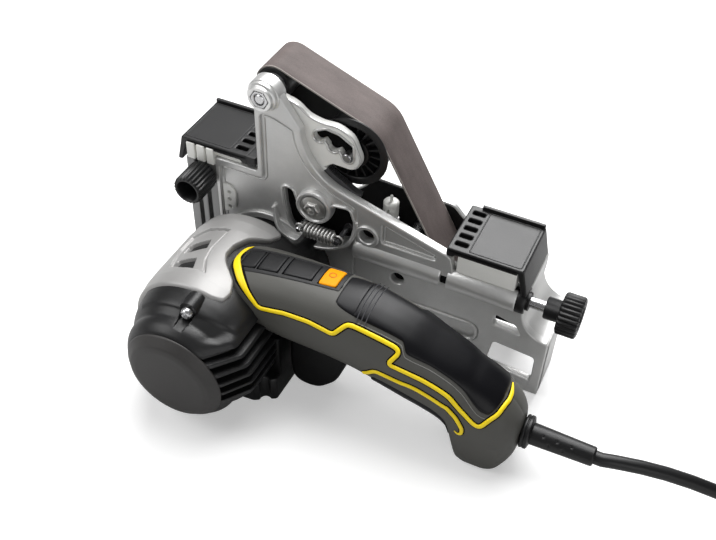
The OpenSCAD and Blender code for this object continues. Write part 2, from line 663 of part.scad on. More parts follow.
module motor_housing() color("dimgray") difference() {
  union() {
    turned_y(motor_x, motor_z, housing_points);
    for (a = screw_angles) {
      rod_y(motor_x + screw_ring_r * cos(a), motor_z + screw_ring_r * sin(a), screw_seat, cap_y + 29.2, 4.6);
      rod_y(motor_x + screw_ring_r * cos(a), motor_z + screw_ring_r * sin(a), screw_seat, cap_y + 33.6, 3.1);
    }
    difference() {
      translate([motor_x, y_front + cap_y, 0]) linear_extrude(16)
        polygon([[14, 32], [motor_r - 9.5, 33], [motor_r + 1.2, 39.6], [motor_r + 1.6, 62], [14, 62]]);
      rod_y(motor_x, motor_z, cap_y, 0, motor_r - 0.2);
      rod_z(motor_x + motor_r - 3.6, cap_y + 35.6, -cut, 14, 3.2);
      rod_y(motor_x + motor_r - 10, -0.6, cap_y + 31, cap_y + 63, 1.8);
    }
  }
  block([motor_x - motor_r - 10, cap_y - cut, -20], [motor_x + motor_r + 10, 5, 0]);
  for (i = [0:fin_count - 1]) {
    translate([motor_x, y_front, motor_z]) rotate([0, fin_step * i - fin_first, 0])
      translate([motor_r - 9, fin_from, -fin_slot / 2]) cube([14, fin_to - fin_from + 2 * i, fin_slot]);
  }
  for (a = screw_angles) {
    rod_y(motor_x + screw_ring_r * cos(a), motor_z + screw_ring_r * sin(a), screw_seat - cut, cap_y + 30,
        1.7);
    rod_y(motor_x + screw_ring_r * cos(a), motor_z + screw_ring_r * sin(a), cap_y + 4, screw_seat,
        screw_head_r + seat);
  }
}
module end_cap() color("dimgray") difference() {
  turned_y(motor_x, motor_z, [[0, cap_y], [cap_r, cap_y], [cap_r + 2.2, cap_y + 1.2],
      [motor_r - 9.6, rear_y - tiny],
    [motor_r - 9.6 - motor_wall, rear_y - tiny], [motor_r - 10 - motor_wall, rear_y + 3],
        [motor_bearing_r + 3, rear_y + 3],
    [0, rear_y + 3]]);
  rod_y(motor_x, motor_z, cap_y + 2.8, rear_y + 4, motor_bearing_r + tiny);
}
collar_points = [[motor_r + 0.2, nose_y - 11], [motor_r + 1.6, nose_y - 12],
    [motor_r + collar_t - 0.4, nose_y - 19],
  [motor_r + collar_t + 0.2, nose_y - 27], [motor_r + collar_t + 0.2, cap_y + 38],
      [motor_r + collar_t - 0.4, cap_y + 31],
  [motor_r + 0.2, cap_y + 29.6]];
collar_from = 58;
collar_to = 208;
vent_y = [cap_y + 45, cap_y + 59];
module satin_collar() color("silver") difference() {
  translate([motor_x, y_front, motor_z]) rotate([-90, 0, 0]) rotate([0, 0, -collar_to])
    rotate_extrude(angle = collar_to - collar_from) polygon(collar_points);
  rod_z(-38, handle_y, motor_z, top_z, handle_w + 0.8);
  block([-38, handle_y - handle_w - 0.8, motor_z], [0, handle_y + handle_w + 0.8, top_z]);
  for (y = vent_y) {
    translate([motor_x, y_front, motor_z]) rotate([0, -127, 0])
      translate([motor_r - 1, y - 3.4, -13]) cube([8, 6, 26]);
  }
}
module housing_screws() color("gainsboro") {
  for (a = screw_angles) {
    rod_y(motor_x + screw_ring_r * cos(a), motor_z + screw_ring_r * sin(a), screw_seat, cap_y + 29, 1.65);
    difference() {
      rod_y(motor_x + screw_ring_r * cos(a), motor_z + screw_ring_r * sin(a), screw_seat - 3.6, screw_seat,
          screw_head_r);
      block([motor_x + screw_ring_r * cos(a) - 4, screw_seat - 4.6, motor_z + screw_ring_r * sin(a) - 0.5],
        [motor_x + screw_ring_r * cos(a) + 4, screw_seat - 2.6, motor_z + screw_ring_r * sin(a) + 0.5]);
    }
  }
}
core_from = cap_y + 34;
core_to = -26;
module stator() color("gray") {
  tube_y(motor_x, motor_z, core_from, core_to, motor_r - motor_wall - 3 * seat, armature_r + air_gap);
}
module armature() color("peru") {
  tube_y(motor_x, motor_z, core_from, core_to, armature_r, shaft_r + tiny);
  tube_y(motor_x, motor_z, cap_y + 16, cap_y + 24, 9, shaft_r + tiny);
}
module motor_shaft() color("gainsboro") rod_y(motor_x, motor_z, cap_y + 3.4, wheel_to + 0.6, shaft_r);
fan_blades = 12;
module cooling_fan() color("black") {
  tube_y(motor_x, motor_z, -22, -20, motor_r - motor_wall - 4, shaft_r + tiny);
  tube_y(motor_x, motor_z, -20 - tiny, -11, shaft_r + 3, shaft_r + tiny);
  for (i = [0:fan_blades - 1]) {
    translate([motor_x, y_front - 20 - tiny, motor_z]) rotate([0, 360 * i / fan_blades, 0])
      translate([12, 0, -0.6]) cube([13, 7, 1.2]);
  }
}
module motor_bearings() color("gray") {
  tube_y(motor_x, motor_z, -2.8, 2.8, motor_bearing_r, shaft_r + run_clear);
  tube_y(motor_x, motor_z, cap_y + 3.2, rear_y + 2.8, motor_bearing_r, shaft_r + run_clear);
}
module brush_holders() color("darkgoldenrod") {
  for (s = [-1, 1]) {
    translate([motor_x, 0, 0]) mirror([s < 0 ? 1 : 0, 0, 0]) translate([-motor_x, 0, 0])
      block([motor_x + 9.6, cap_y + 17, motor_z - 4],
          [motor_x + motor_r - 6.6 - motor_wall, cap_y + 23, motor_z + 4]);
  }
}

// Handle: rings stand square to X, each a rounded section between a top and a bottom line
handle_stations = [
  [-56, motor_top + 1.5, 56, 0.5], [-53, motor_top + 4, 50, 0.76], [-46, motor_top + 5.5, 46, 0.92],
  [-36, motor_top + 6.4, 43.5, 0.98], [-20, motor_top + 7, 41.5, 1], [0, motor_top + 7.2, 40.5, 1],
  [14, motor_top + 6.6, 39, 1], [28, 77, 36, 1], [42, 73, 32.4, 1], [54, 68, 29, 0.97], [62, 64.6, 26, 0.95],
  [67, 62.4, 22, 0.94], [71, 60.6, 11, 0.93], [75, 58.6, 2, 0.93], [80, 56.4, 0, 0.93], [88, 52, 0, 0.91],
  [94, 47.4, 2, 0.85], [98, 43, 6, 0.74], [101, 38, 12, 0.55]];
handle_sides = 32;
last_station = len(handle_stations) - 1;
function power_sign(v, e) = sign(v) * pow(abs(v), e);
function handle_ring(s, out) =
  let (zc = (s[1] + s[2]) / 2, h = (s[1] - s[2]) / 2 + out, w = s[3] * handle_w + out)
  [for (k = [0:handle_sides - 1]) let (a = 360 * k / handle_sides)
    [s[0], y_front + handle_y + w * power_sign(cos(a), 2 / handle_n), zc + h * power_sign(sin(a),
        2 / handle_n)]];
function tube_faces(rings, sides) = concat(
  [for (i = [0:rings - 2], k = [0:sides - 1]) let (a = i * sides + k, b = i * sides + (k + 1) % sides)
    each [[a, b + sides, b], [a, a + sides, b + sides]]],
  [for (k = [1:sides - 2]) [0, k, k + 1]],
  [for (k = [1:sides - 2]) [(rings - 1) * sides, (rings - 1) * sides + k + 1, (rings - 1) * sides + k]]);
module handle_body(out, first, last) {
  rings = [for (i = [first:last]) handle_ring(handle_stations[i], out)];
  polyhedron(points = [for (r = rings) each r], faces = tube_faces(len(rings), handle_sides));
}
key_table = [[-45.8, 8.4, 12.6], [-35, 10.5, 13], [-19.5, 15, 13], [-4, 9, 14]];
key_y = [-45.5, -44.5, -42.5, -40.5];
key_top = motor_top + 7.6;
key_bottom = motor_top + 0.4;
trigger_x = [motor_x + motor_r + 5, motor_x + motor_r + 38];
trigger_pivot = [trigger_x[0] + 3.5, 46];
module key_room(i, grow) {
  k = key_table[i];
  block([k[0] - k[1] / 2 - grow, key_y[i] - k[2] / 2 - grow, key_bottom - 4],
    [k[0] + k[1] / 2 + grow, key_y[i] + k[2] / 2 + grow, key_top + 4]);
}
heel_x = 76;
heel_l = 16;
heel_w = 13.5;
heel_h = 14;
module handle_shell() {
  difference() {
    union() {
      handle_body(0, 0, last_station);
      block([heel_x, handle_y - heel_w, 0], [heel_x + heel_l, handle_y + heel_w, heel_h]);
    }
    handle_body(-handle_wall, 1, last_station - 1);
    rod_y(motor_x, motor_z, cap_y - cut, 10, motor_r + seat);
    for (i = [0:3]) key_room(i, key_clear);
    block([trigger_x[0] - 3, handle_y - trigger_w / 2 - 1, 0],
      [trigger_x[1] + 5, handle_y + trigger_w / 2 + 1, trigger_pivot[1] + 6]);
    rod_x(handle_y, relief_z, 90, 110, relief_r - 0.6 + tiny);
    rod_y(trigger_pivot[0], trigger_pivot[1], handle_y - 40, handle_y + 40, 1.5 + tiny);
  }
}
module handle_front() color("dimgray") intersection() {
  handle_shell();
  block([-80, handle_y - 40, -10], [120, handle_y, 120]);
}
module handle_rear() color("dimgray") intersection() {
  handle_shell();
  block([-80, handle_y + tiny, -10], [120, handle_y + 40, 120]);
}
grip_first = 6;
grip_last = 15;
module grip_layer(first, last) {
  difference() {
    handle_body(grip_t, first, last);
    handle_body(tiny, first - 1, last + 1);
  }
}
// Lower edge of the top grip, and upper edge of the lower grip, as place along X and angle round the section
grip_edge = [[15, 124], [40, 121], [44, 135], [58, 130], [72, 130], [83, 140], [87, 118]];
under_edge = [[30, 205], [46, 200], [58, 200], [66, 205]];
function on_edge(p) = let (q = on_shell(p, 0)) [q[0], q[2]];
module top_grip() color("black") intersection() {
  grip_layer(grip_first, grip_last);
  slab(handle_y - 40, handle_y + 40) polygon(concat([for (p = grip_edge) on_edge(p)], [[88, 100],
      [15, 100]]));
}
module lower_grip() color("black") intersection() {
  grip_layer(7, 11);
  slab(handle_y - 40, handle_y + 40) polygon(concat([for (p = under_edge) on_edge(p)], [[66, 0], [30, 0]]));
}

// Accent beads lie on the shell, along points of place and angle round the section
bead_sides = 6;
bead_seat = 0.1;
function station_at(x) =
  let (i = max([for (k = [0:last_station - 1]) if (handle_stations[k][0] <= x) k]),
    a = handle_stations[i], b = handle_stations[i + 1], t = (x - a[0]) / (b[0] - a[0]))
  a + t * (b - a);
function on_shell(p, out) =
  let (s = station_at(p[0]), zc = (s[1] + s[2]) / 2, h = (s[1] - s[2]) / 2 + out, w = s[3] * handle_w + out)
  [p[0], y_front + handle_y + w * power_sign(cos(p[1]), 2 / handle_n), zc + h * power_sign(sin(p[1]),
      2 / handle_n)];
upper_bead = [[-51, 60], [-53, 78], [-54, 92], [-52, 108], [-45.5, 133], [-40, 150], [-33, 168],
    [-19, 160], [-6, 159],
  [7.5, 164], [13, 141], [15, 138], [39, 135], [40.5, 141], [36.5, 166], [53, 159], [58, 158], [68, 157],
      [75, 156],
  [82, 162], [85, 160], [91, 129], [93.5, 93], [91.5, 70]];
lower_bead = [[24, 205], [30, 185], [52, 178], [65, 178], [73, 170], [77, 176], [76, 184], [72.5, 192]];
function softened(p) = concat(
  [for (i = [0:len(p) - 2], t = [0, 1 / 3, 2 / 3]) p[i] + t * (p[i + 1] - p[i])], [p[len(p) - 1]]);
module accent_beads() color("gold") {
  for (line = [upper_bead, lower_bead]) {
    pipe([for (p = softened(line)) on_shell(p, bead_r + bead_seat)], bead_r, bead_sides);
  }
}

// Keys, trigger and its pin
module key(i, tone) {
  k = key_table[i];
  color(tone) block([k[0] - k[1] / 2, key_y[i] - k[2] / 2, key_bottom],
    [k[0] + k[1] / 2, key_y[i] + k[2] / 2, key_top]);
}
module lock_key() key(0, "black");
module slow_key() key(1, "dimgray");
module fast_key() key(2, "dimgray");
module power_key() key(3, "orange");
trigger_points = [[trigger_x[0], 50], [trigger_x[0] - 1, 22], [trigger_x[0] + 3, 13], [trigger_x[0] + 10, 10],
  [trigger_x[0] + 18, 11], [trigger_x[0] + 27, 20], [trigger_x[1] - 2, 32], [trigger_x[1], 42],
      [trigger_x[1] - 4, 46],
  [trigger_x[0] + 9, 50]];
module trigger() color("black") difference() {
  slab(handle_y - trigger_w / 2, handle_y + trigger_w / 2) polygon(trigger_points);
  rod_y(trigger_pivot[0], trigger_pivot[1], handle_y - 40, handle_y + 40, 1.5 + run_clear);
  rod_y(motor_x, motor_z, cap_y, 0, motor_r + collar_t + 1);
}
module trigger_pin() color("gainsboro") {
  rod_y(trigger_pivot[0], trigger_pivot[1], handle_y - handle_w + 6, handle_y + handle_w - 6, 1.5);
}

// Strain relief, cord, coil and plug
relief_x = 102.6;
relief_end = relief_x + 4 + relief_l;
module strain_relief() color("black") {
  rod_x(handle_y, relief_z, 97, relief_x + 0.2, relief_r - 0.6);
  rod_x(handle_y, relief_z, relief_x, relief_x + 4, relief_r + 3);
  translate([relief_x + 4 - tiny, y_front + handle_y, relief_z]) rotate([0, 90, 0])
    cylinder(h = relief_l + tiny, r1 = relief_r, r2 = relief_r - 0.7);
}
// A round pipe of straight pieces: each ring stands square to the path
function unit(v) = v / norm(v);
function side_of(t) = unit(abs(t[2]) < 0.9 ? cross(t, [0, 0, 1]) : cross(t, [1, 0, 0]));
function ahead(p, i) = unit(p[min(i + 1, len(p) - 1)] - p[max(i - 1, 0)]);
function pipe_ring(p, i, r, sides) =
  let (t = ahead(p, i), u = side_of(t), v = cross(u, t))
  [for (k = [0:sides - 1]) let (a = 360 * (k + 0.5) / sides) p[i] + r * (cos(a) * u + sin(a) * v)];
module pipe(p, r, sides) {
  points = [for (i = [0:len(p) - 1]) each pipe_ring(p, i, r, sides)];
  polyhedron(points = points, faces = tube_faces(len(p), sides));
}
cord_sides = 8;
cord_y = y_front + handle_y;
cord_low = cord_d / 2;
coil_x = 258;
coil_y = 12;
coil_in = 31;
coil_pitch = cord_d + 0.9;
coil_layer = cord_d + 0.6;
coil_turns = 1.6;
coil_layers = 4;
coil_out = coil_in + coil_pitch * coil_turns;
coil_rings = 24;
tail_turns = 0.75;
tail_rise = 11.8;
tail_in = 14;
cord_path = [[relief_end, cord_y, relief_z], [relief_end + 3.4, cord_y, relief_z],
    [148, cord_y + 1.6, relief_z],
  [160, cord_y + 5, 25], [172, cord_y + 8.6, 22.6], [184.5, cord_y + 12, 19.2], [197, cord_y + 15, 15.2],
  [209, cord_y + 18.8, 11.2], [221, cord_y + 22, 7.8], [233, cord_y + 24.4, 5.2],
  [246, coil_y - coil_out - 0.6, 3.7], [coil_x, coil_y - coil_out, cord_low]];
module power_cord() color("black") pipe(cord_path, cord_d / 2, cord_sides);
// The coil spirals in and out, layer upon layer, and climbs in the half turn round each reversal
function coil_radius(turn) =
  let (lap = floor(turn / coil_turns), t = turn - lap * coil_turns)
  lap % 2 == 0 ? coil_out - coil_pitch * t : coil_in + coil_pitch * t;
function coil_climb(turn) =
  let (nearest = round(turn / coil_turns), t = (turn - nearest * coil_turns) / 0.5 + 0.5)
  nearest < 1 || nearest > coil_layers - 1 ? (nearest < 1 ? 0 : coil_layers - 1) : nearest - 1 + min(max(t,
      0), 1);
// The tail climbs on top of the coil first and then turns inward, so that the plug rests on the loops
function ease(t) = let (c = min(max(t, 0), 1)) c * c * (3 - 2 * c);
wound = coil_turns * coil_layers;
function coil_point(turn) =
  let (a = 360 * turn - 90, u = turn - wound,
    r = u > 0 ? coil_out - tail_in * ease((u - 0.22) / (tail_turns - 0.22)) : coil_radius(turn),
    z = u > 0 ? coil_layer * (coil_layers - 1) + tail_rise * ease(u / 0.3) : coil_layer * coil_climb(turn))
  [coil_x + r * cos(a), coil_y + r * sin(a), cord_low + z];
coil_end = wound + tail_turns;
coil_steps = floor(coil_end * coil_rings);
coil_path = concat([coil_point(0)], [for (i = [1:coil_steps]) coil_point(i / coil_rings)]);
coil_gap = min([for (i = [0:coil_steps],
    j = [i + 12:1:coil_steps]) norm(coil_path[i] - coil_path[j])]) - cord_d;
echo(coil_gap = coil_gap);
function path_length(p) = [for (i = 0, s = 0; i < len(p); i = i + 1,
    s = s + (i < len(p) ? norm(p[i] - p[i - 1]) : 0)) s];
echo(cord_length = path_length(cord_path)[len(cord_path) - 1] + path_length(coil_path)[len(coil_path) - 1]);
module cord_coil() color("black") pipe(coil_path, cord_d / 2, 6);
plug_at = coil_path[coil_steps];
plug_heading = atan2(plug_at[1] - coil_path[coil_steps - 1][1], plug_at[0] - coil_path[coil_steps - 1][0]);
plug_l = 34;
plug_w = 8;
tie_t = 1.2;
tie_w = 9;
tie_mid = (coil_in + coil_out) / 2;
tie_half = (coil_out - coil_in) / 2 + cord_d / 2 + 0.5;
tie_top = coil_layer * (coil_layers - 1) + cord_d + 0.5;
module cord_tie() color("dimgray") translate([coil_x, coil_y, 0]) rotate([0, 0, tie_angle]) difference() {
  translate([tie_mid - tie_half - tie_t, -tie_w / 2, 0]) cube([2 * (tie_half + tie_t), tie_w,
      tie_top + tie_t]);
  translate([tie_mid - tie_half, -tie_w, -cut]) cube([2 * tie_half, 2 * tie_w, tie_top + cut]);
}
tie_angle = 180;
module mains_plug() color("black") {
  translate(plug_at) rotate([0, 0, plug_heading]) {
    rotate([0, 90, 0]) cylinder(h = 12, r1 = cord_d / 2 + 0.6, r2 = cord_d / 2 + 2.4);
    translate([12 - tiny, -plug_w, -plug_w]) cube([plug_l - 12, 2 * plug_w, 2 * plug_w]);
    for (s = [-1, 1]) translate([plug_l - tiny, s * 5 - 0.8, -3]) cube([16, 1.6, 6]);
  }
}

frame_casting();
rear_guard();
guard_posts();
guard_screws();
rubber_feet();
index_plate();
scale_tab();
top_wheel();
wheel_bearings();
top_bolt();
top_nut();
index_wheel();
index_bearing();
index_axle();
lower_wheel();
lower_axle();
drive_wheel();
abrasive_belt();
tension_arm();
tension_roller();
roller_bearing();
pivot_bolt();
tension_spring();
tracking_screw();
right_guide();
right_carriage();
screw_nut();
adjusting_screw();
screw_bush();
right_knob();
left_guide();
left_carriage();
left_knob();
clamp_stud();
motor_housing();
end_cap();
satin_collar();
housing_screws();
stator();
armature();
motor_shaft();
cooling_fan();
motor_bearings();
brush_holders();
handle_front();
handle_rear();
top_grip();
lower_grip();
accent_beads();
lock_key();
slow_key();
fast_key();
power_key();
trigger();
trigger_pin();
strain_relief();
power_cord();
cord_coil();
cord_tie();
mains_plug();
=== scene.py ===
# %% [markdown]
# # Electric belt knife sharpener
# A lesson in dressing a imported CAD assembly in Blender. Each step says what a piece is on the real tool, how
# it could be made, and why it is made the way that follows. All shapes are numpy arrays in millimetres, with
# Y counted from the front face of the cast frame, and they are turned into metres at the last moment. A few
# places turn up again and again, so they have names: the frame's head, the pivot of the tension arm, the
# motor's axis, and in (x, z) the hub of the index wheel and the middle of the hollow shoulder below it.

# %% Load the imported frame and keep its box
import math

import bmesh
import bpy
import numpy as np
from mathutils import Matrix, Vector
from mathutils.geometry import tessellate_polygon


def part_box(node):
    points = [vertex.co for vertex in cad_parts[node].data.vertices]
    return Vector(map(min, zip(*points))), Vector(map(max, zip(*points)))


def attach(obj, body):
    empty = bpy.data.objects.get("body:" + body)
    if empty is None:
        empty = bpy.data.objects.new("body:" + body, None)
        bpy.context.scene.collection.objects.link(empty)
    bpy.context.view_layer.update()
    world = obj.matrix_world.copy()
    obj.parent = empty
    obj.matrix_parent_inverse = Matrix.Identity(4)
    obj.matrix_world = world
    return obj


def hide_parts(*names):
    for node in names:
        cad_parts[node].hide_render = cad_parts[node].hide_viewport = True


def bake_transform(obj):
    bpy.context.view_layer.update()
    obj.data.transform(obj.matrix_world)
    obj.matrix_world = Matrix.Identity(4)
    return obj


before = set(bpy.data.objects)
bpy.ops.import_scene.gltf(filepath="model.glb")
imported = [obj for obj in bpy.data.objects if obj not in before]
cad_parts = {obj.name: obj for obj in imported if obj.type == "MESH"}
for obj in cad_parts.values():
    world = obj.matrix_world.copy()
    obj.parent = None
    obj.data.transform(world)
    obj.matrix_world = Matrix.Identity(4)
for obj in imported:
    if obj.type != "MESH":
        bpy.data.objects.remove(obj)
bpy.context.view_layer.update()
MM = 0.001
FRONT = -14.0
TURN = 2 * math.pi
HEAD, PIVOT, MOTOR = (-62.5, 0, 142), (-35, 0, 82), np.array((-63.0, 0.0, 36.0))
HUB, SHOULDER = np.array((-18.8, 116.2)), np.array((-9.0, 128.0))

# %% [markdown]
# ## Camera
# The photograph was taken from the right, well above the table, with a short telephoto lens. A camera could
# be aimed with a Track To constraint, but here its three axes were worked out from the straight edges of the
# frame, so the matrix is written directly: right, up and back are its columns.

# %% Camera
pitch, yaw, roll = (math.radians(v) for v in (44.25, 23.83, 2.11))
ahead = Vector((-math.sin(yaw), math.cos(yaw), 0))
aside = Vector((math.cos(yaw), math.sin(yaw), 0))
gaze = math.cos(pitch) * ahead - math.sin(pitch) * Vector((0, 0, 1))
lift = math.sin(pitch) * ahead + math.cos(pitch) * Vector((0, 0, 1))
right = math.cos(roll) * aside + math.sin(roll) * lift
over = math.cos(roll) * lift - math.sin(roll) * aside
camera = bpy.data.objects.new("camera", bpy.data.cameras.new("camera"))
bpy.context.scene.collection.objects.link(camera)
turn = Matrix((right, over, -gaze)).transposed().to_4x4()
camera.matrix_world = Matrix.Translation((0.140, -0.351, 0.406)) @ turn
camera.data.lens, camera.data.sensor_width, camera.data.clip_start = 47.97, 36.0, 0.01
bpy.context.scene.camera = camera
bpy.context.scene.view_settings.view_transform = "Standard"
print("camera looks along", [round(v, 3) for v in gaze])

# %% [markdown]
# ## From numbers to meshes
# A surface is a grid of points, one row for each step of the first parameter. The faces of such a grid follow
# a fixed pattern, so they can be counted out for any size at once. A tube, a turned part and a loft are all
# the same grid, closed in one direction or in both.

# %% Grid helpers
def quads(n, m, round_u=False, round_v=False):
    """Corner numbers of the faces of an n by m grid; a round direction joins its last line to its first."""
    a, b = np.meshgrid(np.arange(n if round_u else n - 1), np.arange(m if round_v else m - 1), indexing="ij")
    c, d = (a + 1) % n, (b + 1) % m
    return np.stack([a * m + b, c * m + b, c * m + d, a * m + d], -1).reshape(-1, 4)


def build(name, points, faces, crease=38):
    """A mesh from points in mm: doubles merged, faces turned outwards, corners over crease kept sharp."""
    place = (np.asarray(points, float).reshape(-1, 3) + (0, FRONT, 0)) * MM
    mesh = bpy.data.meshes.new(name)
    mesh.from_pydata(place.tolist(), [], [list(map(int, f)) for f in faces])
    work = bmesh.new()
    work.from_mesh(mesh)
    bmesh.ops.remove_doubles(work, verts=work.verts, dist=2e-6)
    bmesh.ops.dissolve_degenerate(work, edges=work.edges, dist=1e-7)
    bmesh.ops.recalc_face_normals(work, faces=work.faces)
    work.to_mesh(mesh)
    work.free()
    mesh.shade_smooth()
    mesh.set_sharp_from_angle(angle=math.radians(crease))
    piece = bpy.data.objects.new(name, mesh)
    bpy.context.scene.collection.objects.link(piece)
    return piece


def surface(name, grid, round_u=False, round_v=False, caps=False, crease=38, keep=None):
    """A piece from a grid of points; caps close the first and last row, keep leaves out false faces."""
    n, m = grid.shape[:2]
    faces = quads(n, m, round_u, round_v)
    if keep is not None:
        faces = faces[keep.reshape(-1)]
    faces = faces.tolist()
    if caps:
        faces += [list(range(m))[::-1], list(range((n - 1) * m, n * m))]
    return build(name, grid, faces, crease)


made = []


def dress(piece, finish, *nodes, body="root", slot=None):
    """Gives a piece its finish, hides the CAD nodes it replaces and parents it to its body, if one is given.
    """
    piece.data.materials.clear()
    piece.data.materials.append(finish)
    if body:
        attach(piece, body)
    if nodes:
        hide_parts(*nodes)
    made.append(piece.name)
    return piece


def from_cad(node, width):
    """A copy of a CAD node: doubles merged, flat triangles joined into faces, then every edge rounded."""
    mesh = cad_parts[node].data.copy()
    work = bmesh.new()
    work.from_mesh(mesh)
    bmesh.ops.remove_doubles(work, verts=work.verts, dist=2e-6)
    bmesh.ops.dissolve_limit(work, angle_limit=math.radians(0.6), verts=work.verts, edges=work.edges)
    work.to_mesh(mesh)
    work.free()
    mesh.materials.clear()
    mesh.shade_smooth()
    mesh.set_sharp_from_angle(angle=math.radians(30))
    piece = bpy.data.objects.new(node + "_dressed", mesh)
    bpy.context.scene.collection.objects.link(piece)
    soft = piece.modifiers.new("edges", "BEVEL")
    soft.width, soft.segments, soft.limit_method = width * MM, 2, "ANGLE"
    soft.angle_limit, soft.harden_normals = math.radians(30), True
    return piece


def spline(knots, values, x):
    """A cubic curve through knots: each slope is the harmonic mean of its two sides, or zero at a peak."""
    k, v = np.asarray(knots, float), np.asarray(values, float)
    step = np.diff(v) / np.diff(k)
    both = step[:-1] * step[1:]
    mean = np.where(both > 0, 2 * both / np.where(both > 0, step[:-1] + step[1:], 1), 0)
    slope = np.concatenate([step[:1], mean, step[-1:]])
    i = np.clip(np.searchsorted(k, x) - 1, 0, len(k) - 2)
    h = k[i + 1] - k[i]
    t = np.clip((x - k[i]) / h, 0, 1)
    return ((2 * t - 3) * t * t + 1) * v[i] + ((t - 2) * t + 1) * t * h * slope[i] \
        + (3 - 2 * t) * t * t * v[i + 1] + (t - 1) * t * t * h * slope[i + 1]


def smoothstep(a, b, x):
    """Rises from 0 at a to 1 at b with no corner at either end."""
    t = np.clip((np.asarray(x, float) - a) / (b - a), 0, 1)
    return t * t * (3 - 2 * t)


def travel(line):
    """The distance along a line at each of its points."""
    return np.concatenate([[0], np.cumsum(np.linalg.norm(np.diff(line, axis=0), axis=1))])


def even(line, count, ends=True):
    """The same line as count evenly spaced points."""
    run = travel(line)
    at = np.linspace(0, run[-1], count, endpoint=ends)
    return np.stack([np.interp(at, run, axis) for axis in line.T], 1)


def route(points, radius, step, closed=False):
    """A polyline in even steps; its corners are quadratic arcs that start radius before each corner."""
    p, reach = np.asarray(points, float), np.broadcast_to(radius, (len(points), 1))
    fresh = np.linalg.norm(p - np.roll(p, 1, 0), axis=1) > 1e-3
    p, reach = p[fresh], reach[fresh]
    corner, before, after = p, np.roll(p, 1, 0), np.roll(p, -1, 0)
    if not closed:
        corner, before, after, reach = corner[1:-1], before[1:-1], after[1:-1], reach[1:-1]
    a, b = before - corner, after - corner
    la, lb = np.linalg.norm(a, axis=1, keepdims=True), np.linalg.norm(b, axis=1, keepdims=True)
    a, b = a / la * np.minimum(reach, 0.48 * la), b / lb * np.minimum(reach, 0.48 * lb)
    t = np.linspace(0, 1, 9)[None, :, None]
    bends = (corner[:, None] + (1 - t) ** 2 * a[:, None] + t ** 2 * b[:, None]).reshape(-1, p.shape[1])
    line = np.concatenate([bends, bends[:1]]) if closed else np.concatenate([p[:1], bends, p[-1:]])
    count = max(int(round(travel(line)[-1] / step)), 3)
    return even(line, count, False) if closed else even(line, count + 1)


def trace(points, radius, step):
    """A closed route, such as the outline of a plate."""
    return route(points, radius, step, closed=True)


def along(path, closed=False):
    """Unit tangents of a path by central differences."""
    if closed:
        t = np.roll(path, -1, 0) - np.roll(path, 1, 0)
    else:
        t = np.gradient(path, axis=0)
    return t / np.linalg.norm(t, axis=1, keepdims=True)


def sweep(name, path, profile, up, closed=False, crease=38):
    """A profile of (side, height) points carried along a path; up is the height direction at each point."""
    t = along(path, closed)
    n = np.broadcast_to(np.asarray(up, float), path.shape)
    n = n - (n * t).sum(1, keepdims=True) * t
    n = n / np.linalg.norm(n, axis=1, keepdims=True)
    s = np.cross(t, n)
    q = np.asarray(profile, float)
    if q.ndim == 2:
        q = np.broadcast_to(q, (len(path),) + q.shape)
    grid = path[:, None] + q[..., :1] * s[:, None] + q[..., 1:] * n[:, None]
    return surface(name, grid, round_u=closed, round_v=True, caps=not closed, crease=crease)


def round_about(sides):
    """Angles once round a circle."""
    return np.linspace(0, TURN, sides, endpoint=False)


def ring(radius, sides):
    """A circle of points for a tube."""
    a = round_about(sides)
    return np.stack([radius * np.cos(a), radius * np.sin(a)], 1)


print("helpers ready")

# %% [markdown]
# ## Plates, turned parts and beads
# A plate is a border profile, a quarter round on each edge, carried along every loop of its outline, and its
# flat faces are filled between the loops. Booleans and a Bevel could do the same, but a bevel breaks down on
# very short edges.

# %% Plates with holes
def arc(cx, cz, r, a0, a1, count=24):
    """Points of a circular arc, angles in degrees."""
    a = np.radians(np.linspace(a0, a1, count))
    return np.stack([cx + r * np.cos(a), cz + r * np.sin(a)], 1)


def disc(cx, cz, r, count=40):
    """A full circle of points."""
    return arc(cx, cz, r, 0, 360, count + 1)[:-1]


def offset(loop, distance):
    """A closed loop moved to its left: a point goes along the sum of its edge normals, farther at corners."""
    p = np.asarray(loop, float)
    e = np.roll(p, -1, 0) - p
    n = np.stack([-e[:, 1], e[:, 0]], 1) / np.linalg.norm(e, axis=1, keepdims=True)
    both = n + np.roll(n, 1, 0)
    return p + distance * both / np.maximum((both ** 2).sum(1, keepdims=True) / 2, 0.5)


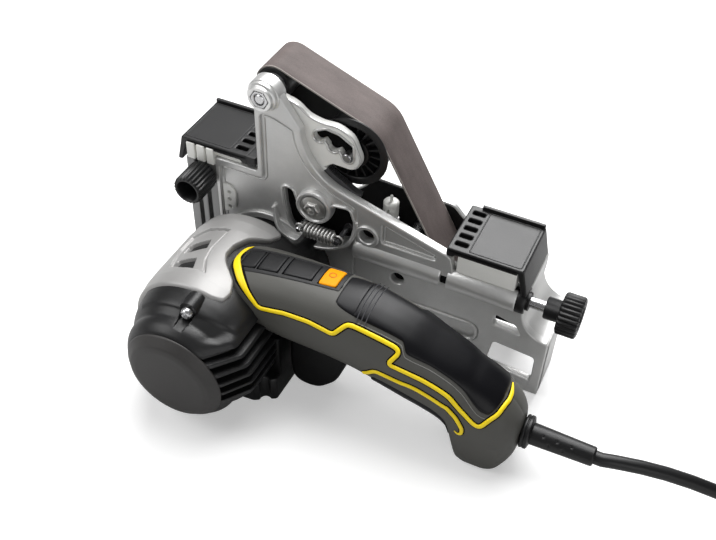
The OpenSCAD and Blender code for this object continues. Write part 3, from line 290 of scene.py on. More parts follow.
def plate(name, loops, low, high, r_low=0.5, r_high=0.5, plane="xz", steps=4, crease=38):
    """A plate between two levels: a border loop, then hole loops; r_low and r_high round its edges."""
    a = np.linspace(0, math.pi / 2, steps)
    curl = 1 - np.sin(a)
    inset = np.concatenate([[r_low + 0.2], r_low * curl, r_high * curl[::-1], [r_high + 0.2]])
    level = np.concatenate([[low], low + r_low * (1 - np.cos(a)), high - r_high * (1 - np.cos(a))[::-1],
                            [high]])
    points, faces, rims, start = [], [], ([], []), 0
    for k, loop in enumerate(loops):
        p = np.asarray(loop, float)
        area = (p[:, 0] * np.roll(p[:, 1], -1) - np.roll(p[:, 0], -1) * p[:, 1]).sum()
        p = p if (area > 0) == (k == 0) else p[::-1]
        rows = np.stack([np.column_stack([offset(p, d), np.full(len(p), h)]) for d, h in zip(inset, level)])
        faces += (quads(*rows.shape[:2], round_v=True) + start).tolist()
        for rim, row in zip(rims, (0, len(rows) - 1)):
            rim.append((start + row * len(p) + np.arange(len(p)), rows[row]))
        points.append(rows.reshape(-1, 3))
        start += len(rows) * len(p)
    for rim in rims:
        number = np.concatenate([index for index, _ in rim])
        tris = tessellate_polygon([[Vector((u, v, 0)) for u, v, _ in row.tolist()] for _, row in rim])
        faces += number[np.asarray(tris)].tolist()
    order = {"xz": [0, 2, 1], "xy": [0, 1, 2], "yz": [2, 0, 1]}[plane]
    return build(name, np.concatenate(points)[:, order], faces, crease)


def box_loop(x0, z0, x1, z1, corner=0.8, step=1.0):
    """A rounded rectangle as a loop."""
    return trace([(x0, z0), (x1, z0), (x1, z1), (x0, z1)], corner, step)


def hexagon(a, r):
    """How far a six-sided row lies inside its circle."""
    return r * (math.cos(math.pi / 6) / np.cos(a % (math.pi / 3) - math.pi / 6) - 1)


def spun(name, rows, centre, axis="y", sides=72, crease=34, shape=hexagon):
    """A turned piece from rows of (radius, distance, share): share 1 gives a row the shape's full change."""
    r, d, share = np.array([(tuple(row) + (0,))[:3] for row in rows], float).T[..., None]
    a = round_about(sides)
    r = r + share * shape(a, r)
    c, s, d = r * np.cos(a), r * np.sin(a), np.broadcast_to(d, r.shape)
    grid = np.stack({"y": (c, d, s), "x": (d, c, s)}[axis], -1) + np.asarray(centre, float)
    return surface(name, grid, round_v=True, crease=crease)


def bead_line(name, loop, level, width, height, closed=True, up=(0, -1, 0), points=9, foot=-0.3):
    """A half-round bead along a loop: in (x, z) at a level y, or in (x, y) at a level z if up is upwards."""
    a = np.linspace(0, math.pi, points)
    arch = np.stack([width * np.cos(a), height * np.sin(a)], 1)
    profile = np.concatenate([[(width, foot)], arch, [(-width, foot)]])
    path = np.insert(loop, 2 if up[2] else 1, level, axis=1)
    return sweep(name, path, profile, up, closed)


print("plate tools ready")

# %% [markdown]
# ## Finishes
# A material is a small program. Writing it as a Python expression is easier to read than a picture of boxes,
# so one class wraps a socket and turns +, -, *, / and ** into Math nodes, also with a number on the left. A
# second class keeps one material's node tree and makes every other node with a single method: type, settings,
# then values.

# %% Shader expressions
class Wire:
    """A socket that can be calculated with, also with a number on its left."""

    def __init__(self, bench, socket):
        self.bench, self.socket = bench, socket

    def sum(self, how, a, b):
        return self.bench.add("ShaderNodeMath", {"operation": how}, {0: a, 1: b})

    __add__ = __radd__ = lambda self, other: self.sum("ADD", self, other)
    __mul__ = __rmul__ = lambda self, other: self.sum("MULTIPLY", self, other)
    __sub__ = lambda self, other: self.sum("SUBTRACT", self, other)
    __rsub__ = lambda self, other: self.sum("SUBTRACT", other, self)
    __truediv__ = lambda self, other: self.sum("DIVIDE", self, other)
    __rtruediv__ = lambda self, other: self.sum("DIVIDE", other, self)
    __pow__ = lambda self, other: self.sum("POWER", self, other)
    __rpow__ = lambda self, other: self.sum("POWER", other, self)
    __gt__ = lambda self, other: self.sum("GREATER_THAN", self, other)


class Finish:
    """One material, or the world, and the nodes in it."""

    def __init__(self, name, home=None):
        self.material = home or bpy.data.materials.new(name)
        self.material.use_nodes = True
        self.tree = self.material.node_tree
        self.tree.nodes.clear()

    def add(self, kind, settings=None, values=None, out=0):
        node = self.tree.nodes.new(kind)
        for key, value in (settings or {}).items():
            if key == "stops":
                stops = node.color_ramp.elements
                while len(stops) < len(value):
                    stops.new(1.0)
                for stop, (place, shade) in zip(stops, value):
                    stop.position, stop.color = place, (shade, shade, shade, 1)
            else:
                setattr(node, key, value)
        for key, value in (values or {}).items():
            if isinstance(value, Wire):
                self.tree.links.new(value.socket, node.inputs[key])
            else:
                node.inputs[key].default_value = value
        return Wire(self, node.outputs[out]) if node.outputs else None

    def place(self):
        return self.add("ShaderNodeTexCoord", out="Object")

    def stretched(self, vector, scale):
        return self.add("ShaderNodeMapping", None, {"Vector": vector, "Scale": scale})

    def noise(self, vector, scale, detail=2.0, rough=0.5):
        return self.add("ShaderNodeTexNoise", None,
                        {"Vector": vector, "Scale": scale, "Detail": detail, "Roughness": rough})

    def ramp(self, value, stops):
        return self.add("ShaderNodeValToRGB", {"stops": stops}, {"Fac": value})

    def blend(self, factor, a, b):
        a, b = (v + (1,) if isinstance(v, tuple) else v for v in (a, b))
        return self.add("ShaderNodeMix", {"data_type": "RGBA"}, {0: factor, 6: a, 7: b}, out=2)

    def bump(self, height, strength, distance):
        values = {"Height": height, "Strength": strength, "Distance": distance}
        return self.add("ShaderNodeBump", None, values)

    def skin(self, **sockets):
        """The surface itself: a Principled shader whose sockets are given by name, with _ for a space."""
        values = {name.replace("_", " "): value for name, value in sockets.items()}
        shader = self.add("ShaderNodeBsdfPrincipled", None, values)
        self.add("ShaderNodeOutputMaterial", None, {"Surface": shader})
        return self.material

# %% [markdown]
# The casting is shot-blasted aluminium under a thin clear satin: a grey that shifts a little over
# centimetres, with a grain of a few tenths of a millimetre. A picture texture could show that, but noise has
# no seams and keeps its size on every piece, because it reads Object coordinates in metres.

# %% Metals
def cast_metal(name, dark, pale, rough, grain=0.5, metallic=1.0, scale=1500):
    """Cast or blasted metal: cloudy grey, fine pits in the normal, and gloss that varies with the clouds."""
    f = Finish(name)
    at = f.place()
    clouds, pits = f.noise(at, 45, 4, 0.6), f.noise(at, scale, 3, 0.7)
    shade = f.ramp(clouds * 0.75 + pits * 0.25, [(0.3, 0.0), (0.7, 1.0)])
    return f.skin(Base_Color=f.blend(shade, dark, pale), Metallic=metallic,
                  Roughness=clouds * 0.12 + pits * 0.10 + (rough - 0.11), Normal=f.bump(pits, grain, 0.00012))


def bright_metal(name, colour, rough):
    """Turned or plated metal: a fine grain in the gloss and the normal."""
    f = Finish(name)
    lines = f.noise(f.place(), 900, 3, 0.6)
    low = tuple(0.82 * c for c in colour)
    return f.skin(Base_Color=f.blend(lines, low, colour), Metallic=1.0,
                  Roughness=lines * 0.16 + (rough - 0.06), Normal=f.bump(lines, 0.08, 0.00005))


cast_aluminium = cast_metal("cast_aluminium", (0.62, 0.62, 0.612), (0.76, 0.76, 0.75), 0.39, 0.35,
                            metallic=0.64)
index_aluminium = cast_metal("index_aluminium", (0.88, 0.88, 0.85), (0.95, 0.95, 0.92), 0.42, 0.25,
                             metallic=0.15)
carriage_alloy = cast_metal("carriage_alloy", (0.88, 0.88, 0.84), (0.95, 0.95, 0.91), 0.38, 0.25,
                            metallic=0.1)
collar_paint = cast_metal("collar_paint", (0.34, 0.335, 0.33), (0.40, 0.395, 0.39), 0.44, 0.2, metallic=0.35,
                          scale=3500)
arm_metal = cast_metal("arm_metal", (0.045, 0.045, 0.048), (0.07, 0.07, 0.073), 0.42, 0.3, metallic=0.3)
bright_steel = bright_metal("bright_steel", (0.76, 0.76, 0.77), 0.24)
bearing_steel = bright_metal("bearing_steel", (0.46, 0.46, 0.47), 0.30)
spring_steel = bright_metal("spring_steel", (0.66, 0.655, 0.64), 0.36)
brass = bright_metal("brass", (0.72, 0.50, 0.20), 0.25)
# polished_lit_metal is a glossier copy of the casting metal for the rails and the head. Its lighter tone
# paints their highlights.
polished_lit_metal = cast_metal("polished_lit_metal", (0.82, 0.82, 0.81), (0.90, 0.90, 0.89), 0.34, 0.03, metallic=0.75,
                         scale=500)
# shaded_column_metal is a darker copy of the casting metal. It paints the shade on the column's face.
shaded_column_metal = cast_metal("shaded_column_metal", (0.25, 0.25, 0.25), (0.31, 0.31, 0.31), 0.42, 0.03, metallic=0.7,
                          scale=500)
rim_bright = cast_metal("rim_bright", (0.60, 0.60, 0.59), (0.72, 0.72, 0.71), 0.30, 0.15, metallic=0.7)
print("metals ready")

# %% [markdown]
# The plastics and rubbers differ mostly in grain and gloss. The motor is spark-textured, the grips are soft
# and nearly smooth, and the keys lie between them. A second, much larger noise takes the evenness out of the
# colour, as handling does.

# %% Plastics and rubber
def moulded(name, colour, rough, grain, scale=2600, drift=0.25, sheen=0.38):
    """Moulded plastic: a grain in the normal, slow drift of colour and gloss, and a lighter bloom."""
    f = Finish(name)
    at = f.place()
    cells, slow = f.noise(at, scale, 2, 0.55), f.noise(at, 28, 3, 0.6)
    low, high = tuple((1 - drift) * c for c in colour), tuple((1 + drift) * c for c in colour)
    return f.skin(Base_Color=f.blend(slow * 0.6 + cells * 0.4, low, high), Specular_IOR_Level=sheen,
                  Roughness=slow * 0.14 + cells * 0.12 + (rough - 0.13),
                  Normal=f.bump(cells, grain, 0.0001))


motor_plastic = moulded("motor_plastic", (0.011, 0.011, 0.0115), 0.38, 0.5, 2200, sheen=0.42)
cap_plastic = moulded("cap_plastic", (0.042, 0.040, 0.039), 0.46, 0.6, 1700)
handle_plastic = moulded("handle_plastic", (0.078, 0.077, 0.070), 0.48, 0.3, 2600)
tray_plastic = moulded("tray_plastic", (0.010, 0.010, 0.011), 0.5, 0.25, 2600)
key_plastic = moulded("key_plastic", (0.008, 0.008, 0.009), 0.46, 0.2, 3200, sheen=0.28)
black_plastic = moulded("black_plastic", (0.007, 0.007, 0.0075), 0.38, 0.2, 2000)
trigger_black = moulded("trigger_black", (0.003, 0.003, 0.0033), 0.42, 0.2, 2400, sheen=0.16)
guide_plastic = moulded("guide_plastic", (0.008, 0.008, 0.0085), 0.40, 0.35, 2400, sheen=0.5)
grip_rubber = moulded("grip_rubber", (0.0030, 0.0030, 0.0042), 0.35, 0.10, 3000, sheen=0.22)
cord_rubber = moulded("cord_rubber", (0.006, 0.006, 0.0065), 0.38, 0.2, 1800)
# hoop_highlight_paint is lighter than the grip rubber. It paints the highlights on the three hoops.
hoop_highlight_paint = moulded("hoop_highlight_paint", (0.05, 0.05, 0.055), 0.36, 0.1, 3000)
# seam_highlight_paint is a light grey that paints the highlight along the seam's ridge.
seam_highlight_paint = moulded("seam_highlight_paint", (0.22, 0.22, 0.21), 0.45, 0.1, 3000)
# painted_shade_black is a matte near-black. Laid into holes, slots, vents and grooves, it paints the shade
# inside them.
painted_shade_black = moulded("painted_shade_black", (0.003, 0.003, 0.003), 0.8, 0.1, sheen=0.1)
accent_yellow = moulded("accent_yellow", (1.0, 0.74, 0.010), 0.36, 0.1, 2600, drift=0.05)
power_orange = moulded("power_orange", (0.86, 0.32, 0.001), 0.5, 0.1, 2600, drift=0.05, sheen=0.15)
print("plastics ready")

# %% [markdown]
# ## Cord
# The lead leaves the handle through a rubber sleeve, droops to the table and turns away. Only its first part
# shows in the photograph, so the rest is wound into a storage coil outside the view. A curve object with a
# bevel would do, but a swept grid also carries the jacket's shape, so the route is written as points and the
# coil as a formula: the radius runs in and out between two limits, and the cord climbs one layer at each
# reversal.

# %% Cord route
CORD_D = 7.0
lead_out = np.array([(138.6, -59, 26), (142, -59, 26), (148, -57.4, 26), (160, -54, 25), (172, -50.4, 22.6),
                     (184.5, -47, 19.2), (197, -44, 15.2), (209, -40.2, 11.2), (221, -37.2, 7.8),
                     (233, -35, 5.2), (246, -32.74, 3.7)])
COIL = dict(x=258.0, y=11.5, inner=31.0, pitch=7.9, layer=7.6, turns=1.6, layers=4)
coil_outer = COIL["inner"] + COIL["pitch"] * COIL["turns"]
wound = COIL["turns"] * COIL["layers"]
lap_turn = np.arange(172) / 24.0
lap = np.floor(lap_turn / COIL["turns"])
within = lap_turn - lap * COIL["turns"]
nearest = np.clip(np.round(lap_turn / COIL["turns"]), 1, COIL["layers"] - 1)
climb = nearest - 1 + np.clip((lap_turn - nearest * COIL["turns"]) / 0.5 + 0.5, 0, 1)
loop_r = np.where(lap % 2 == 0, coil_outer - COIL["pitch"] * within, COIL["inner"] + COIL["pitch"] * within)
tail = lap_turn - wound
loop_r = np.where(tail > 0, coil_outer - 14 * smoothstep(0.22, 0.75, tail), loop_r)
loop_z = np.where(tail > 0, COIL["layer"] * 3 + 11.8 * smoothstep(0, 0.3, tail), COIL["layer"] * climb)
loop_a = TURN * lap_turn - TURN / 4
coil = np.stack([COIL["x"] + loop_r * np.cos(loop_a), COIL["y"] + loop_r * np.sin(loop_a),
                 CORD_D / 2 + loop_z], 1)
cord_path = np.concatenate([lead_out, coil]) - (0, FRONT, 0)
lead = sweep("mains_lead", cord_path, ring(CORD_D / 2, 16), (0, 0, 1))
dress(lead, cord_rubber, "power_cord", "cord_coil")
print("cord length", round(float(travel(cord_path)[-1]), 1), "mm")

# %% [markdown]
# The plug is a moulded wedge with two pins, and a strap holds the coil. The plug's body is a loft of rounded
# squares that swell from the cord, which is how such a plug is drawn out of its mould.

# %% Plug and tie
def rounded_section(half_w, half_h, power, sides=32):
    """A rounded rectangle as a superellipse: |y/w|^p + |z/h|^p = 1."""
    a = round_about(sides)
    bend = lambda v: np.sign(v) * np.abs(v) ** (2 / power)
    return np.stack([half_w * bend(np.cos(a)), half_h * bend(np.sin(a))], 1)


UP = np.array((0, 0, 1.0))
plug_at, plug_dir = cord_path[-1], along(cord_path)[-1] * (1, 1, 0)
plug_dir /= np.linalg.norm(plug_dir)
plug_side = np.cross((0, 0, 1), plug_dir)
plug_table = np.array([(0, 4.0, 4.0, 2), (2, 4.3, 4.3, 2), (11, 5.6, 5.6, 2.2), (12, 7.2, 7.2, 3),
                       (13, 7.9, 7.9, 4), (20, 8, 8, 5), (30, 7.7, 7.7, 5), (33.2, 7.4, 7.4, 5),
                       (34, 6.8, 6.8, 5)])
sections = np.stack([rounded_section(w, h, p) for _, w, h, p in plug_table])
plug_grid = (plug_at + plug_table[:, None, :1] * plug_dir + sections[..., :1] * plug_side
             + sections[..., 1:] * UP)
plug = dress(surface("plug_body", plug_grid, round_v=True, caps=True), cord_rubber, "mains_plug")
pin_run = np.array([33.0, 48.6, 49.6, 50.0])[:, None, None]
pin_thin = np.array([0.8, 0.8, 0.6, 0.3])
pin_wide = np.array([3.0, 3.0, 2.7, 2.2])
pins = []
for side in (-5.0, 5.0):
    sec = np.stack([rounded_section(t, w, 6, 16) for t, w in zip(pin_thin, pin_wide)])
    grid = plug_at + pin_run * plug_dir + (sec[..., :1] + side) * plug_side + sec[..., 1:] * UP
    pins.append(dress(surface("plug_pin_%d" % len(pins), grid, round_v=True, caps=True), bright_steel))
under_tie = loop_r[(tail <= 0) & (np.abs(loop_a % TURN - math.pi) < 0.14)]
tie_mid, tie_half = (under_tie.min() + under_tie.max()) / 2, np.ptp(under_tie) / 2 + CORD_D / 2 + 0.9
tie_top = COIL["layer"] * 3 + CORD_D + 1.1
strap = route([(tie_half, 0.7), (tie_half, tie_top), (-tie_half, tie_top), (-tie_half, 0.7)], 4, 1.2)
tie_path = np.insert(strap * (-1, 1) + (COIL["x"] - tie_mid, 0), 1, COIL["y"] - FRONT, axis=1)
tie = sweep("coil_tie", tie_path, [(-4.5, -0.5), (4.5, -0.5), (4.5, 0.5), (-4.5, 0.5)],
            np.cross(along(tie_path), (0, 1, 0)))
dress(tie, handle_plastic, "cord_tie", slot="cord_rubber")
print("plug at", np.round(plug_at, 1))

# %% [markdown]
# ## Strain relief
# A rubber sleeve with a clamping ring, turned about the cord's axis. Three small holes in it let the rubber
# bend. They are dimples in the radius: each lowers the surface by a bell curve of the distance from its
# middle.

# %% Strain relief
def sleeve_radius(x, a):
    """Radius of the sleeve: a neck, a grooved ring and a long taper, with three dimples on the near side."""
    base = np.interp(x, [96.5, 102.2, 102.6, 103.2, 104.0, 104.4, 104.8, 106.2, 106.7, 107.3, 137.6, 138.4,
                         138.6],
                     [5, 5, 8.0, 8.5, 8.5, 8.0, 8.5, 8.5, 7.8, 5.6, 4.95, 4.5, 3.5])
    dots = sum(np.exp(-((x - c) ** 2 + (5.3 * (a - b)) ** 2) / 0.5 ** 2)
               for c, b in ((113, 2.2), (120, 2.2), (127, 2.2), (116.5, 2.8), (123.5, 2.8)))
    return base - 0.9 * dots


sleeve_x = np.unique(np.concatenate([np.arange(96.5, 107.4, 0.2), np.arange(107.4, 137.6, 0.45),
                                     np.arange(137.6, 138.61, 0.2), [138.6]]))
sx, sa = np.meshgrid(sleeve_x, round_about(72), indexing="ij")
sr = sleeve_radius(sx, sa)
sleeve_grid = np.stack([sx, -45 + sr * np.cos(sa), 26 + sr * np.sin(sa)], -1)
sleeve = dress(surface("cord_sleeve", sleeve_grid, round_v=True, caps=True), cord_rubber, "strain_relief")
print("sleeve", len(sleeve.data.polygons), "faces")

# %% [markdown]
# ## Handle
# The handle is a loft. Each cross section is a superellipse that stands square to X, and a table gives its
# top, its bottom and its width. In between, cubic curves keep the skin smooth, so one function of (x, angle)
# describes the whole body, and everything that lies on it - beads, grips and keys - is placed by the same
# function with a small lift. The heel is squarer below, so a fuller superellipse is mixed into the lower half
# there.

# %% Handle surface
HANDLE_Y, HANDLE_W, HANDLE_N = -45.0, 19.5, 2.5
STATIONS = np.array([
    (-58.0, 70.5, 63, 0.10), (-57.4, 72.8, 60, 0.30), (-56, 74.5, 56, 0.50), (-53, 77, 50, 0.76),
    (-46, 78.5, 46, 0.92), (-36, 79.4, 43.5, 0.98), (-20, 80, 41.5, 1), (0, 80.2, 40.5, 1), (14, 79.6, 39, 1),
    (28, 77, 36, 1), (42, 73, 32.4, 1), (54, 68, 29, 0.97), (62, 64.6, 26, 0.95), (67, 62.4, 22, 0.94),
    (71, 60.6, 11, 0.93), (75, 58.6, 2, 0.93), (80, 56.4, 0, 0.93), (88, 52, 0, 0.91), (94, 47.4, 2, 0.85),
    (98, 43, 6, 0.74), (101, 38, 12, 0.55), (102.1, 34, 17, 0.34), (102.5, 30, 22, 0.12)])


def section(x):
    """Middle height, half height and half width of the handle at x."""
    top, low, wide = (spline(STATIONS[:, 0], STATIONS[:, k], x) for k in (1, 2, 3))
    return (top + low) / 2, (top - low) / 2, wide * HANDLE_W


def handle(x, a, out=0.0):
    """A point of the handle's skin at x and angle a (degrees, 90 on top, 180 in front), lifted by out."""
    x, a = np.broadcast_arrays(np.asarray(x, float), np.radians(a))
    mid, h, w = section(x)
    heel = smoothstep(68, 74, x) * (1 - smoothstep(92, 101, x)) * (np.sin(a) < 0)
    c, s = np.cos(a), np.sin(a)
    corner = (np.abs(c) ** 8 + np.abs(s) ** 8) ** (1 / 8)
    oval = lambda v: np.sign(v) * np.abs(v) ** (2 / HANDLE_N)
    across, upright = (oval(v) * (1 - heel) + v / corner * heel for v in (c, s))
    return np.stack([x, HANDLE_Y + (w + out) * across * (1 + 0.17 * heel * upright),
                     mid + (h + out) * upright], -1)


def handle_normal(x, a):
    """Outward normal of the skin from two small steps along its parameters."""
    du = handle(x + 0.05, a) - handle(x - 0.05, a)
    dv = handle(x, a + 0.2) - handle(x, a - 0.2)
    n = np.cross(du, dv)
    n = n / np.linalg.norm(n, axis=-1, keepdims=True)
    p = handle(x, a)
    mid, _, _ = section(np.asarray(x, float))
    away = p - np.stack([p[..., 0], np.full_like(mid, HANDLE_Y), mid], -1)
    return n * np.sign((n * away).sum(-1, keepdims=True))


def handle_top(x, y, lift=0.0):
    """A point of the upper skin above (x, y): the superellipse solved for its height."""
    mid, h, w = section(np.asarray(x, float))
    rest = np.clip(1 - np.abs((y - HANDLE_Y) / w) ** HANDLE_N, 0, 1)
    return np.stack(np.broadcast_arrays(x, y, mid + h * rest ** (1 / HANDLE_N) + lift), -1)


def key_line(x):
    """Y of the middle of the key row, which runs slightly aslant along the handle."""
    return -45.4 + (np.asarray(x, float) + 46.3) * 0.115


TRIGGER_SLOT = (-24.0, 17.0, 240.7)
hx = np.unique(np.concatenate([np.linspace(-58, -50, 22), np.linspace(-50, 66, 94),
                               np.linspace(66, 102.5, 62), TRIGGER_SLOT[:2]]))
for half, from_a in (("front", 90.0), ("rear", -90.0)):
    ha = np.concatenate([np.linspace(0, 150.7, 56), np.linspace(150.7, 180, 12)[1:]])
    ha = from_a + (ha if half == "front" else 180 - ha[::-1])
    gx, ga = np.meshgrid(hx, ha, indexing="ij")
    spot = handle(gx, ga)
    sunk = smoothstep(-50.5, -48.5, gx) * (1 - smoothstep(0.4, 2.4, gx)) * (np.sin(np.radians(ga)) > 0) \
        * (1 - smoothstep(6.9, 7.9, np.abs(spot[..., 1] - key_line(gx))))
    parting = 0.35 * np.exp(-((spot[..., 1] - HANDLE_Y) / 0.25) ** 2)
    grid = handle(gx, ga, -3.4 * sunk - parting)
    grid[..., 2] = np.maximum(grid[..., 2], 0)
    under = (ha[:-1] + ha[1:]) / 2
    slot_a = np.abs(((under - 270 + 180) % 360) - 180) < 270 - TRIGGER_SLOT[2]
    slot_x = (hx[:-1] + hx[1:]) / 2
    keep = ~(((slot_x > TRIGGER_SLOT[0]) & (slot_x < TRIGGER_SLOT[1]))[:, None] & slot_a[None])
    shell = surface("handle_shell_" + half, grid, keep=keep, crease=60)
    dress(shell, handle_plastic, "handle_" + half)
print("handle from", np.round(handle(-58, 90), 1), "to", np.round(handle(102.5, 90), 1))

# %% [markdown]
# ## Accent beads
# A yellow bead is moulded into a groove round the grip. Its line was read off the photograph as corners
# in (x, angle), so the bead is a profile carried along that route on the skin, and the groove is a wider,
# lower strip under it, coloured near-black to paint the shade in the groove. The corners are rounded
# before the route is cut into even steps.

# %% Accent beads
DEG = 0.34
UPPER = [(-51, 60), (-53, 78), (-54, 92), (-52, 108), (-45.5, 133), (-40, 150), (-33, 168), (-19, 160),
         (-6, 159), (7.5, 164), (13, 141), (15, 138), (39, 135), (40.5, 141), (36.5, 166), (53, 159),
         (58, 158), (68, 157), (75, 156), (82, 162), (85, 160), (91, 129), (93.5, 93), (91.5, 70)]
LOWER = [(24, 205), (30, 185), (52, 178), (65, 178), (73, 170), (77, 176), (76, 183), (73, 187)]
BEAD = [(-1.1, -0.5), (-1.1, 0.25), (-0.98, 0.55), (-0.7, 0.78), (-0.3, 0.88), (0.3, 0.88), (0.7, 0.78),
        (0.98, 0.55), (1.1, 0.25), (1.1, -0.5)]
GROOVE = [(-1.75, -0.5), (-1.75, 0.02), (-1.55, 0.14), (1.55, 0.14), (1.75, 0.02), (1.75, -0.5)]


def on_handle(corners, radius, step):
    """A rounded route on the skin, the skin's normals along it and its (x, angle); a degree counts DEG mm."""
    q = route(np.asarray(corners, float) * (1, DEG), radius, step) / (1, DEG)
    return handle(q[:, 0], q[:, 1]), handle_normal(q[:, 0], q[:, 1]), q


for name, corners in (("upper", UPPER), ("lower", LOWER)):
    path, normal, q = on_handle(corners, 2.4, 0.7)
    swell = np.interp(q[:, 1], [60, 72, 92, 110, 133, 150, 166], [0.3, 0.9, 1.45, 1.85, 1.75, 1.25, 1.0])
    wide = np.where(q[:, 0] < -32, swell, 1)
    wide = wide * np.interp(np.arange(len(q))[::-1], [0, 9], [0.4, 1])
    spread = np.stack([wide, np.minimum(wide, 1)], 1)[:, None]
    room = np.stack([wide, np.ones_like(wide)], 1)[:, None]
    # The groove's near-black paints the shade in the groove beside the bead.
    dress(sweep("bead_groove_" + name, path, np.asarray(GROOVE) * room, normal), painted_shade_black,
          slot="handle_plastic")
    bead = sweep("bead_" + name, path, np.asarray(BEAD) * spread, normal)
    dress(bead, accent_yellow, *(["accent_beads"] if name == "upper" else []))
    print(name, "bead", len(path), "steps")

# %% [markdown]
# ## Grips
# The top of the handle carries a soft overmould that stands a little proud, with a thin line along its edge.
# It is a patch of the same skin between two edge curves: across it, the lift rises in a quarter round at each
# edge and stays level between, so the light breaks along the edge as it does on the real one. The throat,
# three thin hoops and a seam are laid on the same skin. The hoops and the seam are lighter than the rubber,
# which paints the highlights along their ridges.

# %% Grips
def patch(name, x, edge_a, edge_b, lift, rows=40, ends=2.0):
    """A raised patch of the handle between two edge angles at each x, with rounded edges and ends."""
    u = np.concatenate([[0], np.linspace(0, 1, rows), [1]])
    side = np.minimum(u, 1 - u)
    gx, gu = np.meshgrid(x, u, indexing="ij")
    ga = edge_a[:, None] + (edge_b - edge_a)[:, None] * gu
    width = np.abs(edge_b - edge_a)[:, None] * DEG
    near = np.minimum(side[None] * width, np.minimum(gx - x[0], x[-1] - gx) + 0.02)
    swell = np.sqrt(np.clip(1 - (1 - np.clip(near / ends, 0, 1)) ** 2, 0, 1))
    grid = handle(gx, ga, lift * swell)
    grid[:, [0, -1]] = handle(gx, ga, -0.8)[:, [0, -1]]
    grid[[0, -1]] = handle(gx, ga, -0.8)[[0, -1]]
    return surface(name, grid, crease=50)


EDGE = np.array([(14.6, 118), (15.4, 124), (40, 121), (44, 135), (58, 130), (72, 130), (83, 141), (86.5, 139),
                 (89.6, 122), (91.0, 100)])
grip_x = np.concatenate([np.linspace(14.6, 18, 14), np.linspace(18, 88, 84)[1:], np.linspace(88, 91, 14)[1:]])
grip_edge = spline(EDGE[:, 0], EDGE[:, 1], grip_x)
top_grip = patch("grip_top", grip_x, grip_edge, 180 - grip_edge, 0.75, rows=72, ends=1.6)
dress(top_grip, grip_rubber, "top_grip")
throat_x = np.concatenate([np.linspace(3.9, 6, 10), np.linspace(6, 15.6, 14)[1:]])
throat_edge = spline(np.array([3.9, 6, 10, 15.6]), np.array([112.0, 117, 121, 124]), throat_x)
throat = patch("grip_throat", throat_x, throat_edge, 180 - throat_edge, 0.45, rows=48, ends=1.2)
dress(throat, grip_rubber)
# The hoops are real ridges. Their lighter colour paints the highlights on them.
for k, (ring_x, lift) in enumerate(((17.2, 0.8), (19.4, 0.78), (21.6, 0.78))):
    hoop_x, span = np.full(60, ring_x), np.linspace(50, 130, 60)
    hoop = sweep("grip_hoop_%d" % k, handle(hoop_x, span, lift), ring(0.26, 8), handle_normal(hoop_x, span))
    dress(hoop, hoop_highlight_paint, slot="grip_rubber")
# The seam is a real ridge. Its light grey paints the highlight on it.
seam_x = np.linspace(18, 86, 90)
seam_a = spline(EDGE[:, 0], EDGE[:, 1], seam_x) + 6.5
seam = handle(seam_x, seam_a, 0.02)
dress(sweep("grip_seam", seam, ring(0.2, 8), handle_normal(seam_x, seam_a)), seam_highlight_paint, slot="handle_plastic")
UNDER = np.array([(27, 214), (30, 203), (46, 198), (58, 198), (66, 201), (70, 214)])
under_x = np.linspace(27, 70, 60)
under_edge = spline(UNDER[:, 0], UNDER[:, 1], under_x)
lower_grip = patch("grip_lower", under_x, under_edge, 540 - under_edge, 0.7, rows=48, ends=1.6)
dress(lower_grip, grip_rubber, "lower_grip")
print("grips", len(top_grip.data.polygons) + len(lower_grip.data.polygons), "faces")

# %% [markdown]
# ## Key tray
# Four keys sit in a shallow tray on top of the handle. A boolean could cut its openings, but the tray is thin
# and curved, and cuts would spoil its shading. So it is a patch over (x, y) with real openings: grid lines
# run along the edges of each opening, and the faces inside are left out.

# %% Key tray
KEYS = [("lock", -45.8, 8.4, 6.3), ("slow", -35.0, 10.5, 6.5), ("fast", -19.5, 15.0, 6.5),
        ("power", -4.0, 9.0, 7.0)]
tray_x = np.unique(np.round(np.concatenate(
    [np.linspace(-53.2, 3.6, 72)] + [[x - l / 2 - 0.35, x + l / 2 + 0.35] for _, x, l, _ in KEYS]), 3))
tray_s = np.unique(np.concatenate([np.linspace(-9.2, 8.8, 46), [-7.35, -6.85, 6.85, 7.35]]))
tx, ts = np.meshgrid(tray_x, tray_s, indexing="ij")
_, _, tw = section(tx)
narrow = np.minimum(1, 0.80 * tw / 13.5)
ty = key_line(tx) + ts * narrow
rim = np.minimum(np.minimum(tx - tray_x[0], tray_x[-1] - tx), np.minimum(ts - tray_s[0], tray_s[-1] - ts))
tray_lift = -0.9 + 1.2 * np.sqrt(np.clip(1 - (1 - np.clip(rim / 1.1, 0, 1)) ** 2, 0, 1))
tray_mid_x, tray_mid_s = (tray_x[:-1] + tray_x[1:]) / 2, (tray_s[:-1] + tray_s[1:]) / 2
solid = np.ones((len(tray_mid_x), len(tray_mid_s)), bool)
for _, kx, kl, kw in KEYS:
    solid &= ~((np.abs(tray_mid_x - kx) < kl / 2 + 0.34)[:, None] & (np.abs(tray_mid_s) < kw + 0.34)[None])
tray = surface("key_tray", handle_top(tx, ty, tray_lift), keep=solid, crease=50)
wall = tray.modifiers.new("wall", "SOLIDIFY")
wall.thickness, wall.offset = 1.6 * MM, -1
dress(tray, tray_plastic, slot="handle_plastic")
print("tray openings", len(KEYS))

# %% [markdown]
# ## Keys
# The keys are small soft caps, and one of them is orange. A rounded box would do, but the top has to follow
# the handle's crown. So each key is a rounded outline that goes up the sides, rolls over the edge and closes
# on the crown. The symbols on the real keys are left off, and the orange key carries a plain ring.

